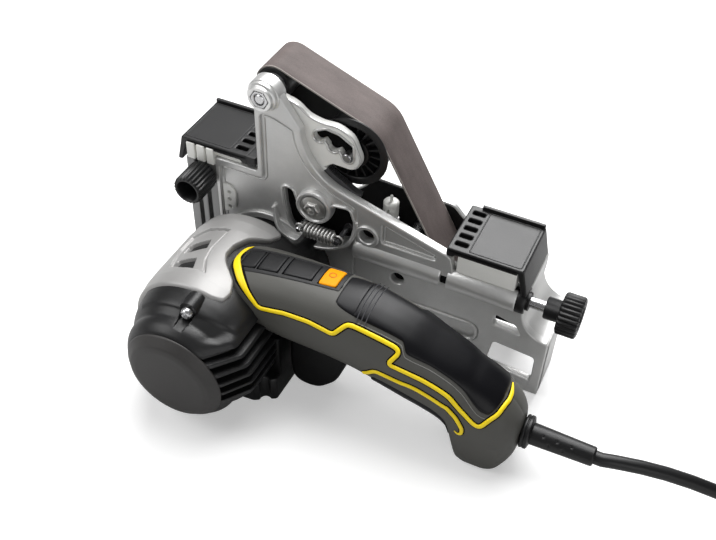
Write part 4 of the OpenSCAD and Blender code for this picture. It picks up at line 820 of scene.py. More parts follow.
# %% Keys
def cushion(name, outline, top, depth, r=0.8, inner=9):
    """A key: the outline goes up from depth, turns over a quarter round of radius r and closes on the top."""
    turn_a = np.linspace(0, math.pi / 2, 6)
    middle = outline.mean(0)
    reach = np.linalg.norm(outline - middle, axis=1).min()
    scale = np.concatenate([[1, 1], 1 - r * (1 - np.cos(turn_a[1:])) / reach])
    drop = np.concatenate([[depth, r], r * (1 - np.sin(turn_a[1:]))])
    fill = np.linspace(scale[-1], 0.0, inner)[1:]
    scale, drop = np.concatenate([scale, fill]), np.concatenate([drop, np.zeros(len(fill))])
    flat = middle + (outline - middle)[None] * scale[:, None, None]
    return surface(name, top(flat[..., 0], flat[..., 1]) - drop[:, None, None] * UP, round_v=True)


for name, kx, kl, kw in KEYS:
    loop = box_loop(-kl / 2, -kw, kl / 2, kw, 1.5, (kl / 2 + kw) / 16)
    loop = np.stack([kx + loop[:, 0], key_line(kx + loop[:, 0]) + loop[:, 1]], 1)
    cap = cushion("key_" + name, loop, lambda x, y: handle_top(x, y, 0.62 if name == "power" else 0.5), 5.5)
    finish = power_orange if name == "power" else key_plastic
    dress(cap, finish, name + "_key", body=name)
mark_x, mark_y = ring(1.7, 40).T + np.array([(-4.2,), (key_line(-4.2) + 0.4,)])
mark = handle_top(mark_x, mark_y, 0.6)
pale_mark = moulded("pale_mark", (0.55, 0.13, 0.001), 0.4, 0.05, drift=0.03)
dress(sweep("power_ring", mark, ring(0.28, 8), (0, 0, 1), closed=True), pale_mark, body="power",
      slot="power_orange")
print("keys", [k[0] for k in KEYS])

# %% [markdown]
# ## Trigger
# The trigger hangs below the handle. It is a flat outline with a thickness: each layer of the grid is the
# same outline, pulled in a little near both faces so that the edges are round.

# %% Trigger
def slab(name, outline, y_from, y_to, r, crease=38, steps=5):
    """An outline in (x, z) given thickness along y, with edges rounded by r; flat faces close both ends."""
    q = np.asarray(outline, float)
    t = along(q, closed=True)
    area = (q[:, 0] * np.roll(q[:, 1], -1) - np.roll(q[:, 0], -1) * q[:, 1]).sum()
    inward = np.stack([-t[:, 1], t[:, 0]], 1) * np.sign(area)
    a = np.linspace(0, math.pi / 2, steps)
    inset = np.concatenate([r * (1 - np.sin(a)), r * (1 - np.sin(a))[::-1]])
    y = np.concatenate([y_from + r * (1 - np.cos(a)), y_to - r * (1 - np.cos(a))[::-1]])
    flat = q[None] + inward[None] * inset[:, None, None]
    grid = np.stack([flat[..., 0], np.broadcast_to(y[:, None], flat.shape[:2]), flat[..., 1]], -1)
    return surface(name, grid, round_v=True, caps=True, crease=crease)


TRIGGER = [(-21, 49), (-22, 24), (-21, 13), (-17, 8.6), (-10, 8.0), (-4, 9.6), (4.5, 18.5), (9, 31), (12, 42),
           (8, 45.6), (-12, 49.4)]
dress(slab("trigger_lever", trace(TRIGGER, 4.5, 1.0), -54.8, -35.2, 2.4), trigger_black, "trigger",
      body="trigger_lever", slot="black_plastic")
print("trigger made")

# %% [markdown]
# ## Motor housing
# The housing is a turned shell with a bay of cooling slots beside the handle. The slots lie level, because
# the mould slides out sideways. A boolean could cut them, but it leaves ragged shading. Here the lines of the
# bay run at fixed heights, exactly along the slot edges, and the rest of the grid runs at fixed angles, so
# the walls are crisp.

# %% Motor housing
SCREW_A, SCREW_R = (85.0, 205.0), 33.8
body_profile = route([(24.6, 3), (24.6, -3), (26.6, -5), (30, -8), (33.6, -11.4), (36, -14), (37, -18),
                      (37, -70), (36.5, -76), (34.6, -82), (32.2, -86.4), (30.9, -88.4), (31.3, -90.4),
                      (30.4, -94), (27.4, -98.2), (24, -98.6)], 2.0, 0.8)
RIBS = np.array([-6.4, -0.2, 5.6, 11.4, 17.0, 22.6])
rib_half, slot_deep = 0.95, 6.5
slot_end = np.array([-52.0, -54.0, -56.2, -58.6, -61.0])
extra = np.concatenate([slot_end, slot_end + 0.5, [-83.85, -83.95, -74.6, -74.8]])
row_y = np.concatenate([body_profile[:, 1], extra])
row_r = np.concatenate([body_profile[:, 0], np.interp(extra, body_profile[::-1, 1], body_profile[::-1, 0])])
order = np.argsort(-row_y, kind="stable")
row_y, row_r = row_y[order], row_r[order]
bay_r = np.maximum(row_r, np.interp(row_y, [-98.6, -98.2, -97.4, -85.5, -83.5, -60],
                                    [0, 27.4, 28.2, 36.5, 37, 37]))
bay_z, bay_cut, bay_slot = [RIBS[0] - 1.6, RIBS[0]], [0.0, 0.0], [0, 0]
for k in range(5):
    low, high = RIBS[k] + rib_half, RIBS[k + 1] - rib_half
    bay_z += [low - 0.5, low - 0.1, low, (low + high) / 2, high, high + 0.1, high + 0.5]
    bay_cut += [0, 0.06, 1, 1, 1, 0.06, 0]
    bay_slot += [k] * 7
bay_z, bay_cut = np.array(bay_z + [RIBS[5] + 1.2]), np.array(bay_cut + [0.0])
bay_slot = np.array(bay_slot + [4])
reach = np.clip((slot_end[bay_slot] + 0.5 - row_y[:, None]) / 0.5, 0, 1)
bay_x = np.sqrt(np.maximum(bay_r[:, None] ** 2 - bay_z ** 2, 1)) - slot_deep * bay_cut * reach
bay = np.stack([bay_x, np.broadcast_to(bay_z, bay_x.shape)], -1)


def shell_radius(a, y, r):
    """Radius of the shell away from the bay: a boss under each screw, and a channel from it to the cap."""
    for mid in SCREW_A:
        d = np.radians(np.abs(a - mid))
        side = SCREW_R * np.sin(np.minimum(d, 1))
        boss = SCREW_R * np.cos(d) + np.sqrt(np.maximum(4.6 ** 2 - side ** 2, 0))
        r = np.where((side < 4.6) & (y > -83.9) & (y < -74.7), np.maximum(r, boss), r)
        wide = np.interp(y, [-98, -84], [2.2, 3.6])
        channel = np.maximum(r - 30.2, 0) * (1 - smoothstep(wide - 0.3, wide + 0.4, side))
        r = np.where(y < -83.9, r - channel, r)
    crest = [(140, -62), (140, -83.6), (79, -84.2), (69.8, -83.4), (44, -80), (43.4, -60)]
    return r + 0.7 * smoothstep(-0.5, 0.5, inside(np.asarray(crest) * (0.63, 1), a * 0.63, y))


def inside(loop, x, y):
    """Signed distance to a closed loop of points, positive inside."""
    p, q = np.asarray(loop, float), np.roll(np.asarray(loop, float), -1, 0)
    e = q - p
    wx, wy = x[..., None] - p[:, 0], y[..., None] - p[:, 1]
    t = np.clip((wx * e[:, 0] + wy * e[:, 1]) / (e ** 2).sum(1), 0, 1)
    far = np.sqrt((wx - t * e[:, 0]) ** 2 + (wy - t * e[:, 1]) ** 2).min(-1)
    crosses = (p[:, 1] > y[..., None]) != (q[:, 1] > y[..., None])
    rise = np.where(e[:, 1] == 0, 1e-9, e[:, 1])
    hit = crosses & (x[..., None] < p[:, 0] + (y[..., None] - p[:, 1]) * e[:, 0] / rise)
    return np.where(hit.sum(-1) % 2 == 1, far, -far)


first, last = (np.degrees(np.arctan2(bay[:, k, 1], bay[:, k, 0]))[:, None] for k in (-1, 0))
steady = np.unique(np.concatenate([np.arange(70, 330, 1.5)] + [m + np.linspace(-9, 9, 37) for m in SCREW_A]))
lead_in, lead_off = np.linspace(0, 1, 16)[1:-1], np.linspace(0, 1, 8)[1:-1]
around = np.concatenate([first + (70 - first) * lead_in, np.broadcast_to(steady, (len(row_y), len(steady))),
                         330 + (360 + last - 330) * lead_off], 1)
near_bay = np.maximum(1 - smoothstep(0, 14, around - first), smoothstep(-12, 0, around - 360 - last))
shell_r = row_r[:, None] + (bay_r - row_r)[:, None] * near_bay
shell_r = shell_radius(around, np.broadcast_to(row_y[:, None], around.shape), shell_r)
skin = np.stack([shell_r * np.cos(np.radians(around)), shell_r * np.sin(np.radians(around))], -1)
ring_rows = np.concatenate([bay, skin], 1)
motor_grid = np.stack([MOTOR[0] + ring_rows[..., 0], np.broadcast_to(row_y[:, None], ring_rows.shape[:2]),
                       np.maximum(MOTOR[2] + ring_rows[..., 1], 0)], -1)
housing = surface("motor_shell", motor_grid, round_v=True, crease=32)
dress(housing, motor_plastic, "motor_housing")
print("motor shell", len(housing.data.polygons), "faces")

# %% [markdown]
# ## End cap
# A shallow disc closes the front of the motor. It could be a cylinder with a bevel, but its rim is a slanted
# land between two soft bends, so it is turned from a profile. What is written on the real one is left off.

# %% End cap
cap_profile = route([(0.01, -103.6), (12, -103.6), (19.8, -103.5), (22.6, -102.8), (27.3, -98.5),
                     (26.4, -97.6)], 1.0, 0.4)
dress(spun("motor_cap", cap_profile, MOTOR, sides=96, crease=38), cap_plastic, "end_cap",
      slot="motor_plastic")
print("cap radius", round(float(cap_profile[:, 0].max()), 1))

# %% [markdown]
# ## Collar
# A satin grey collar wraps the back of the motor and leaves a round opening for the handle. For each place
# along the motor axis it runs from the edge of that opening round to the far side, so angle and y make the
# grid. Its height rises in a quarter round at every border, sinks by a millimetre in the panel, and drops to
# the motor in the two vents.

# %% Collar
COLLAR_OUT, COLLAR_IN, VENT_SHADE_RADIUS = 40.2, 36.6, 36.9
ARC = math.radians(1) * 40
PANEL = [(133, -45), (130, -35), (117, -30), (98, -29), (100, -45), (97.6, -53), (90, -62.6), (104, -63),
         (125, -61.4)]
VENTS = [[(125, -48.6), (124, -42.2), (108, -38.2), (105.6, -44.8), (117, -48.6)],
         [(124, -60.8), (121.8, -55.8), (106.8, -53.4), (102.8, -60.8), (113, -60.8)]]
OPENING = np.array([(-74.4, 80), (-74.0, 73), (-73, 68), (-71, 65.5), (-66, 64.5), (-59, 69), (-51, 82),
                    (-46, 86.4), (-39, 86), (-31, 80), (-25, 67), (-17, 62), (-14.2, 66), (-13.4, 76)])
collar_y = np.linspace(-74.4, -13.4, 176)
collar_u = np.linspace(0, 1, 300)
start_a = np.interp(collar_y, OPENING[:, 0], OPENING[:, 1])
start_a = np.convolve(np.pad(start_a, 4, mode="edge"), np.ones(9) / 9, mode="valid")
cy, cu = np.meshgrid(collar_y, collar_u, indexing="ij")
ca = start_a[:, None] + (208 - start_a)[:, None] * cu
rim_loop = np.concatenate([np.stack([start_a, collar_y], 1), [(208, -13.4), (208, -74.4)]]) * (ARC, 1)
depth_in = np.maximum(inside(rim_loop, ca * ARC, cy), 0)
crown = np.interp(cy, [-74.4, -72.6, -66, -59, -29, -21, -13.4],
                  [38.0, 38.9, 39.9, COLLAR_OUT, COLLAR_OUT, 39.6, 38.0])
edge = np.sqrt(np.clip(1 - (1 - np.clip(depth_in / 1.6, 0, 1)) ** 2, 0, 1))
panel_in = inside(np.asarray(PANEL) * (ARC, 1), ca * ARC, cy)
sunk = smoothstep(-0.15, 0.45, panel_in) + 0.45 * np.exp(-((panel_in - 0.7) / 0.5) ** 2)
hole = sum(smoothstep(-0.2, 0.5, inside(np.asarray(v) * (ARC, 1), ca * ARC, cy)) for v in VENTS)
cr = COLLAR_IN + (crown - COLLAR_IN) * edge - 1.2 * sunk - 4.4 * hole


def about_motor(r, a, y):
    """Points at radius r and angle a (degrees) about the motor's axis."""
    return np.stack([MOTOR[0] + r * np.cos(np.radians(a)), y, MOTOR[2] + r * np.sin(np.radians(a))], -1)


collar_grid = about_motor(cr, ca, cy)
collar = dress(surface("motor_collar", collar_grid, crease=60), collar_paint, "satin_collar")
# A near-black sheet under each vent paints the shade inside it.
for k, vent in enumerate(VENTS):
    low, high = np.min(vent, 0)[1] - 0.5, np.max(vent, 0)[1] + 0.5
    va, vy = np.meshgrid(np.linspace(100, 128, 29), np.linspace(low, high, 12), indexing="ij")
    vent_shade_floor = surface("vent_floor_%d" % k, about_motor(VENT_SHADE_RADIUS, va, vy))
    dress(vent_shade_floor, painted_shade_black, slot="black_plastic")
print("collar", len(collar.data.polygons), "faces")

# %% [markdown]
# ## Motor foot and screws
# A scalloped foot under the motor rests on the table. Its outline is drawn in plan, like the plates of the
# frame, and given height with a rounded top edge. The housing screws are turned, with a six-sided socket.

# %% Motor foot
foot_plan = np.concatenate([[(-49, -71.9), (-35.5, -70.9)], arc(-29.6, -68.3, 3.2, 195.6, 47.8, 12),
                            [(-24.8, -64.3), (-24.4, -41.9), (-49, -41.9)]])
dress(plate("motor_foot", [trace(foot_plan, 1.2, 0.5)], 0, 16, 0.3, 1.0, "xy"), motor_plastic)
dress(plate("motor_web", [box_loop(-42, -60.5, -24.6, -42.2, 1.5)], 14, 43, 0.3, 0.6, "xy"), trigger_black,
      slot="motor_plastic")
screw_rows = [(0.01, -85.6), (1.3, -85.6, 1), (1.45, -85.7, 1), (1.5, -86.9, 1), (1.8, -87.2), (2.5, -86.9),
              (3.0, -86.1), (3.2, -85.2), (3.2, -84.1), (3.0, -83.95), (1.6, -83.95), (1.6, -75), (0.01, -75)]
for k, angle in enumerate(np.radians(SCREW_A)):
    screw_at = MOTOR + (SCREW_R * math.cos(angle), 0, SCREW_R * math.sin(angle))
    screw = spun("housing_screw_%d" % k, screw_rows, screw_at, sides=48)
    dress(screw, bright_steel, *(["housing_screws"] if k == 0 else []))
print("foot and screws made")

# %% [markdown]
# ## Belt
# The belt runs round five wheels. For each outward direction the wheel that reaches farthest touches the
# belt, so one array of directions gives the whole loop without any tangent construction. The grit side and
# the cloth back are two thin skins, because they have different finishes. The back's near-black is the dark
# cloth and also painted shade inside the loop.

# %% Belt
WHEELS = np.array([(-62.5, 142, 9.1), (-18.8, 116.2, 17.5), (47, 17, 9.1), (-8, 24.6, 8.0), (-63, 36, 8.4)])


def belt_loop(gap, step):
    """The loop at a distance from the wheels: the farthest wheel in each direction gives the point."""
    n = ring(1, 1440)
    who = (n @ WHEELS[:, :2].T + WHEELS[:, 2]).argmax(1)
    p = WHEELS[who, :2] + (WHEELS[who, 2:] + gap) * n
    p = np.concatenate([p, p[:1]])
    length = travel(p)[-1]
    return even(p, int(length / step), False), length


def band(name, low, high):
    """A skin of the belt between two distances from the wheels, with softened long edges."""
    inner, _ = belt_loop(low, 1.0)
    t = along(inner, closed=True)
    out = np.stack([t[:, 1], -t[:, 0]], 1)
    y = np.array([11, 11.0, 11.15, 17, 23.7, 30, 36.25, 36.4, 36.4, 30, 23.7, 17])
    d = np.array([0.0, 0.8, 1, 1, 1, 1, 1, 0.8, 0.0, 0, 0, 0]) * (high - low)
    outwards = np.sign((out * (inner - inner.mean(0))).sum(1)).mean()
    flat = inner[:, None] + out[:, None] * d[None, :, None] * outwards
    grid = np.stack([flat[..., 0], np.broadcast_to(y, flat.shape[:2]), flat[..., 1]], -1)
    return surface(name, grid, round_u=True, round_v=True, crease=45)


def belt_finish(name, low, high, edge_colour, grit):
    """Belt cloth: speckled grains, streaks that run with the belt, and pale threads along both edges."""
    f = Finish(name)
    at = f.place()
    grains, streaks = f.noise(at, 2400, 2, 0.7), f.noise(f.stretched(at, (60, 150, 60)), 1, 4, 0.65)
    y = f.add("ShaderNodeSeparateXYZ", None, {"Vector": at}, out=1)
    off_middle = f.add("ShaderNodeMath", {"operation": "ABSOLUTE"}, {0: y - (23.7 + FRONT) * MM})
    rim = (off_middle + grains * 0.0006) > 0.0126
    body = f.blend(f.ramp(grains * 0.55 + streaks * 0.45, [(0.3, 0), (0.72, 1)]), low, high)
    return f.skin(Base_Color=f.blend(rim, body, edge_colour), Roughness=grains * 0.2 + 0.62,
                  Normal=f.bump(grains, grit, 0.00025))


belt_grit = belt_finish("belt_grit", (0.074, 0.059, 0.056), (0.156, 0.127, 0.121), (0.32, 0.29, 0.27), 0.5)
# The back's near-black is the dark backing cloth and also painted shade inside the loop.
belt_cloth = belt_finish("belt_cloth", (0.018, 0.017, 0.017), (0.04, 0.037, 0.036), (0.20, 0.19, 0.18), 0.25)
dress(band("belt_grit_side", 0.75, 1.2), belt_grit, "abrasive_belt", slot="belt_cloth")
dress(band("belt_cloth_side", 0.3, 0.75), belt_cloth)
print("belt loop", round(belt_loop(0.75, 1)[1], 1), "mm")

# %% [markdown]
# ## Index wheel
# The index wheel has a ribbed web. The ribs could be copies set round the middle. Here the face is one grid
# over radius and angle whose depth depends on both, so ribs and pockets are a single skin.

# %% Index wheel
def ripple(a, count, sharp=1.0):
    """1 on top of each flute and 0 between them."""
    return (0.5 + 0.5 * np.cos(count * a)) ** sharp


web_r = np.array([5.2, 5.5, 8.6, 8.9, 9.1, 11, 13, 15.1, 15.3, 15.6, 19.0, 19.4, 19.5, 19.5, 19.4, 17.5, 17.5,
                  17.3, 5.2])
web_y = np.array([10.6, 10.0, 10.0, 10.1, 13.6, 13.6, 13.6, 13.6, 10.0, 9.7, 9.6, 9.7, 9.9, 10.4, 10.6, 10.7,
                  36.6, 36.8, 36.8])
pocket = np.array([0, 0, 0, 0, 1, 1, 1, 1, 0, 0, 0, 0, 0, 0, 0, 0, 0, 0, 0])
wr, wa = np.meshgrid(web_r, round_about(360), indexing="ij")
rib = np.clip((ripple(wa, 18) - 0.78) / 0.10, 0, 1)
wy = web_y[:, None] - pocket[:, None] * 2.9 * rib
wheel_grid = np.stack([HUB[0] + wr * np.cos(wa), wy, HUB[1] + wr * np.sin(wa)], -1)
dress(surface("index_wheel_ribbed", wheel_grid, round_v=True, crease=30), black_plastic, "index_wheel",
      body="index")
print("index wheel ribs 18")

# %% [markdown]
# ## Knobs
# Both knobs are black mouldings with flutes for the fingers. The flutes could be cut one by one, but a turned
# part whose radius ripples with the angle has them all at once.

# %% Knobs
def knob(name, rows, flutes, centre, axis):
    """A turned knob: rows of (radius, distance, flute share); the radius dips 0.9 mm between flutes."""
    dips = lambda a, r: 0.9 * (ripple(a, flutes, 0.6) - 1)
    return spun(name, rows, centre, axis, flutes * 12, 40, dips)


hub_mid = np.mean(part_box("right_knob"), 0) / MM - (0, FRONT, 0)
right_rows = [(3.1, 92.6), (5.4, 92.6), (5.8, 93.1), (5.8, 99.4), (6.2, 100), (9.6, 100.1),
              (10.5, 100.5, 0.6), (11, 101.3, 1), (11, 109.6, 1), (10.6, 110.5, 0.7), (9.4, 111),
              (6.4, 110.8), (6.0, 109.2), (0.01, 109)]
dress(knob("knob_right", right_rows, 26, hub_mid * (0, 1, 1), "x"), black_plastic, "right_knob", body="screw")
left_rows = [(3.1, -1.6), (7.4, -1.6), (8.2, -2.2, 0.6), (8.6, -3.2, 1), (8.6, -17.2, 1), (8.2, -18.4, 0.7),
             (7.3, -19), (6.3, -18.9), (5.7, -18.2), (5.5, -9), (5.0, -8.6), (0.01, -8.6)]
dress(knob("knob_left", left_rows, 22, (-101.2, 0, 81), "y"), black_plastic, "left_knob", body="clamp")
print("knob axis", np.round(hub_mid, 2))

# %% [markdown]
# ## Spring
# A small coil spring with a hook at each end pulls the tension arm.

# %% Spring
SPRING_Y, SPRING_Z = -5.0, 69.0
wind = np.linspace(0, 1, 9 * 20 + 1)
helix = np.stack([-38.6 + 17.7 * wind, SPRING_Y + 3.5 * np.sin(9 * TURN * wind),
                  SPRING_Z + 3.5 * np.cos(9 * TURN * wind)], 1)
hook_a = np.radians(np.linspace(300, 20, 15))
hook = np.stack([2.3 * np.cos(hook_a), np.zeros(15), 2.3 * np.sin(hook_a)], 1)
fixed_hook, arm_hook = hook + (-41, SPRING_Y, SPRING_Z), hook[::-1] * (-1, 1, 1) + (-18.5, SPRING_Y, SPRING_Z)
spring_path = even(np.concatenate([fixed_hook, helix, arm_hook]), 420)
spring_up = (spring_path - (0, SPRING_Y, SPRING_Z)) * (0, 1, 1) + (0.01, 0.02, 0.03)
spring = sweep("arm_spring", spring_path, ring(0.74, 12), spring_up)
dress(spring, spring_steel, "tension_spring", body=None, slot="bright_steel")
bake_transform(spring)
print("spring wire", round(float(travel(spring_path)[-1]), 1), "mm")

# %% [markdown]
# ## Cast frame
# The frame is one casting: a flat plate with a raised border, a round rail, a grooved column and a few
# bosses. It could be carved from the CAD solid with cutters, but then its edges stay sharp. So it is built
# like a pattern maker's model, from plates and turned parts, each with a true round on its edges. The front
# plate has two layers. The back layer has the through holes. The front layer is the raised border: its large
# opening leaves the sunk panel, and a thin bead follows the border inside the panel, which gives the double
# line along every edge of the real casting.

# %% Front plate
NOSE = (MOTOR[0], MOTOR[2], 25.4)


def diagonal(x, inset=0.0):
    """A point on the sloping upper edge of the plate, or on a line below it."""
    a = math.radians(253)
    x0, z0 = SHOULDER + (33.5 + inset) * np.array((math.cos(a), math.sin(a)))
    return x, z0 - (x - x0) * math.tan(math.radians(17))


OUTLINE = trace(np.concatenate([
    [(-95, 0), (99, 0), (99, 40)], arc(99, 56, 16, 270, 180, 12), [(83, 66), (44, 66), diagonal(41.5)],
    arc(*SHOULDER, 33.5, 253, 180, 20), arc(HEAD[0], HEAD[2], 8.6, 18, 180, 9),
    [(-68.6, 134), (-68.6, 93), (-95, 93)]]),
    2.2, 0.8)
PANEL_RIM = trace(np.concatenate([
    [(-58.0, 130.6), (-65.2, 130.6), (-65.2, 89), (-92, 89), (-92, 50)],
    arc(MOTOR[0], MOTOR[2], 29.5, 165, 360, 28), [(-31, 36), (-11, 36), diagonal(-11, 4)],
    arc(*SHOULDER, 37.5, 252, 183, 20)]), 3.0, 0.8)
WEDGE = trace([diagonal(3.5, 4.2), diagonal(34, 4.2), (34, 71.8), (3.5, 71.8)], 2.2, 0.6)
LONG_POCKET = trace([(8, 23.6), (61.6, 23.6), (61.6, 38), (8, 38)], 7, 0.7)
WINDOW = trace([(70.2, 29.2), (93.5, 27.2), (93.8, 8.6), (67.6, 10.6)], 2.4, 0.7)
SPY = trace([(69, 49.2), (80.6, 46), (84, 40), (68.4, 41.2)], 1.6, 0.4)
CRESCENT = trace([(-53.4, 87.5), (-48.8, 87.5), (-46.4, 80), (-43.5, 74.5), (-38, 71.2), (-32, 71.4),
                  (-26.6, 75), (-24.8, 80), (-25, 84.5), (-15.8, 85.6), (-12.8, 77), (-15, 66), (-23.6, 61.8),
                  (-32, 59.8), (-40, 59.2), (-47, 60.6), (-50.5, 66), (-52.5, 76)], 1.6, 0.6)
POCKET = trace([(-21.2, 68.6), (-18.2, 73.8), (-15.6, 74.4), (-14.5, 71.8), (-17, 66.6), (-19.8, 66.4)], 1.2,
               0.5)
small_holes = [disc(-4.4, 73.6, 4.4), disc(14, 50.5, 3.8)]
back_layer = plate("frame_back_layer", [OUTLINE, disc(*NOSE, 90), CRESCENT, WINDOW, SPY] + small_holes, 1.5,
                   5, 0.25, 0.4)
dress(back_layer, cast_aluminium, "frame_casting")
front_layer = plate("frame_border", [OUTLINE, PANEL_RIM, WEDGE, LONG_POCKET, WINDOW, SPY] + small_holes, 0,
                    1.6, 0.85, 0.05)
frame_pieces = [front_layer,
                plate("frame_nose_ring", [disc(MOTOR[0], MOTOR[2], 29.4, 90), disc(*NOSE, 90)], -0.2, 1.6,
                      0.7, 0.05),
                bead_line("frame_panel_bead", offset(PANEL_RIM, 1.7), 1.5, 0.55, 0.6),
                bead_line("frame_wedge_bead", offset(WEDGE, -1.2), 1.5, 0.4, 0.5),
                bead_line("frame_crescent_bead", offset(CRESCENT, 1.2), 1.5, 0.9, 1.3),
                bead_line("frame_pocket_rim", offset(LONG_POCKET, 1.2), 0.0, 0.9, 1.1),
                bead_line("frame_pocket_bead", offset(LONG_POCKET, -2.4), 1.5, 0.9, 1.0)]
# Near-black sheets behind the crescent opening and the two small holes paint the shade inside them.
pocket_shade_floor = plate("pocket_shade_floor", [offset(CRESCENT, 0.7), POCKET], 4.3, 4.9, 0.1, 0.1)
dress(pocket_shade_floor, painted_shade_black, slot="black_plastic")
for k, (hx0, hz0, hr) in enumerate(((-4.4, 73.6, 4.6), (14, 50.5, 4.0))):
    dress(plate("hole_shade_floor_%d" % k, [disc(hx0, hz0, hr)], 4.3, 4.9, 0.1, 0.1), painted_shade_black,
          slot="black_plastic")
print("plate layers", len(back_layer.data.polygons) + len(front_layer.data.polygons), "faces")

# %% [markdown]
# A curved lip carries the spring over the nose of the motor. It is a wall whose height changes along its
# path, so its profile is worked out anew at every step.

# %% Spring lip, column, rail and foot
lip_path = route([(-60, 72), (-57.5, 63), (-52, 58.0), (-46, 56.8), (-38, 56.6), (-31.5, 57.2), (-24, 59.4),
                  (-14.4, 64.4), (-10.9, 73), (-10.8, 80)], 6, 0.8)
lip_s = np.linspace(0, 1, len(lip_path))
lip_h = 2.2 + 3.9 * smoothstep(0, 0.22, lip_s) * (1 - smoothstep(0.62, 1, lip_s))
LIP = [(-1.0, -0.4), (-1.0, 0.9), (-0.75, 0.3), (-0.3, 0.0), (0.3, 0.0), (0.75, 0.3), (1.0, 0.9), (1.0, -0.4)]
lip_profile = np.stack([np.stack([np.full_like(lip_h, w), np.where(h < 0, h, lip_h - h)], 1) for w, h in LIP],
                       1)
lip = sweep("frame_spring_lip", np.insert(lip_path, 1, 1.5, axis=1), lip_profile, (0, -1, 0))
frame_pieces.append(lip)
COLUMN = trace([(-113, 28), (-113, 0), (-107.6, 0), (-107.6, 3.2), (-105, 3.2), (-105, 0), (-101.6, 0),
                (-101.6, 3.2), (-99, 3.2), (-99, 0), (-94, 0), (-94, 28), (-98, 28), (-98, 5), (-109, 5),
                (-109, 28)], 0.55, 0.45)
RAIL = (0, 5, 61.5)
slot_open = math.degrees(math.asin(2.6 / 7.5))
tube = np.concatenate([arc(*RAIL[1:], 7.5, 90 + slot_open, 450 - slot_open, 56),
                       arc(*RAIL[1:], 5.8, 450 - slot_open, 90 + slot_open, 44)])
swoop = np.concatenate([[(79, 66), (83, 66)], arc(99, 56, 16, 180, 270, 14), arc(99, 56, 20, 270, 180, 14)])
frame_pieces += [
    plate("frame_column", [COLUMN], 0, 88, 0.4, 0.6, "xy", crease=30),
    plate("frame_rail_stub", [np.concatenate([arc(*RAIL[1:], 7.5, 90, 270, 40),
                                              [(5, 56), (5, 61.5), (5, 67)]])], -12.4, -5, 1.4, 0.1, "yz"),
    spun("frame_rail_left", [(0.01, -6.2), (7.5, -6.2), (7.5, 36.4), (7.2, 37.3),
                             (6.4, 37.7), (5.4, 37.7), (5.2, 36), (0.01, 36)], RAIL, "x"),
    plate("frame_rail_right", [tube], 41.2, 78.2, 0.4, 0.4, "yz"),
    plate("frame_swoop", [trace(swoop, 1.2, 0.8)], 0.1, 38, 0.8, 0.8),
    plate("frame_end_block", [box_loop(95, 0, 99, 40, 1.0)], 0.2, 28, 0.6, 0.6),
    plate("frame_sole", [box_loop(-113, 0, 54, 28, 1.2)], 0, 4, 0.4, 0.6, "xy"),
    plate("frame_lug", [box_loop(-3.2, 5, 4.8, 22, 1.0)], 70, 73.7, 0.5, 0.5, "xy"),
    spun("frame_pivot_boss", [(3, 4.8), (10, 4.8), (10.2, 1.5), (10.2, -1.0), (9.9, -1.9), (9.2, -2.3),
                              (8.4, -2.2), (7.8, -1.6), (7.6, -0.5), (3, -0.5), (3, 4.8)], PIVOT),
    spun("frame_hole_ring", [(4.4, 1), (6.6, 1), (6.6, -0.6), (6.3, -1.0), (4.9, -1.0), (4.4, -0.5),
                             (4.4, 1)],
         (-4.4, 0, 73.6)),
    spun("frame_head", [(3.2, 7), (8.6, 7), (9, 6.6), (9, 0.2), (8.8, -0.4), (8.3, -0.6), (8.15, -0.9),
                        (8.15, -1.7), (7.9, -2.3), (7.2, -2.5), (6.85, -2.8), (6.8, -3.9), (6.45, -4.4),
                        (5.7, -4.5), (5.3, -4.3, 1), (5.2, -1.7, 1), (3.2, -1.7), (3.2, 7)], HEAD)]
# The column takes the darker copy, which paints its shade. The rails and the head take the lighter, glossier
# copy, which paints their highlights.
LIT_AND_SHADED = {"frame_column": shaded_column_metal, **dict.fromkeys(
    ("frame_rail_left", "frame_rail_stub", "frame_rail_right", "frame_head"), polished_lit_metal)}
for piece in frame_pieces:
    dress(piece, LIT_AND_SHADED.get(piece.name, cast_aluminium), slot="cast_aluminium")
# A near-black core in the rail's notch paints the shade inside it.
dress(spun("rail_notch_shade", [(0.01, 36.5), (5.6, 36.5), (5.6, 42), (0.01, 42)], RAIL, "x"), painted_shade_black,
      slot="black_plastic")
dress(spun("rail_bush_face", [(5.1, 77.6), (7.0, 77.6), (7.3, 78.2), (7.3, 82.4), (6.9, 83), (5.6, 83),
                              (5.1, 82), (5.1, 77.6)], RAIL, "x"), black_plastic)
print("frame pieces", len(frame_pieces) + 2)

# %% [markdown]
# The rear guard is a plain plate behind the wheels. A black liner on its belt side stands for the guard's
# black inner face and also paints the deep shade behind the wheels. The index plate in front of the guard is
# paler and smoother than the casting: it has a toothed edge, three notches for the axle, and a bright raised
# line round both. Below its teeth a dark toothed strip on the same arc as the hollow shoulder of the frame
# paints the shade behind the frame's edge.

# %% Rear guard and index plate
guard_line = np.array([
    (-36, 62), (-27, 69.5), (-22, 74), (-19.5, 79), (-16, 80.8), (29, 78.5), (35, 72), (44, 66), (83, 66),
    (83, 56), (80, 6), (-24, 6), (-34, 18), (-46, 24), (-70, 56), (-70, 100), (-66, 111.5), (-52, 128.5),
    (-38, 128.5), (-27.5, 119), (-28.5, 110), (-40, 103), (-53, 95), (-56, 80), (-52, 58), (-34, 42)])
GUARD = trace(guard_line, 3.0, 1.0)
dress(plate("guard_plate", [GUARD], 38, 41, 0.7, 0.7), cast_aluminium, "rear_guard")
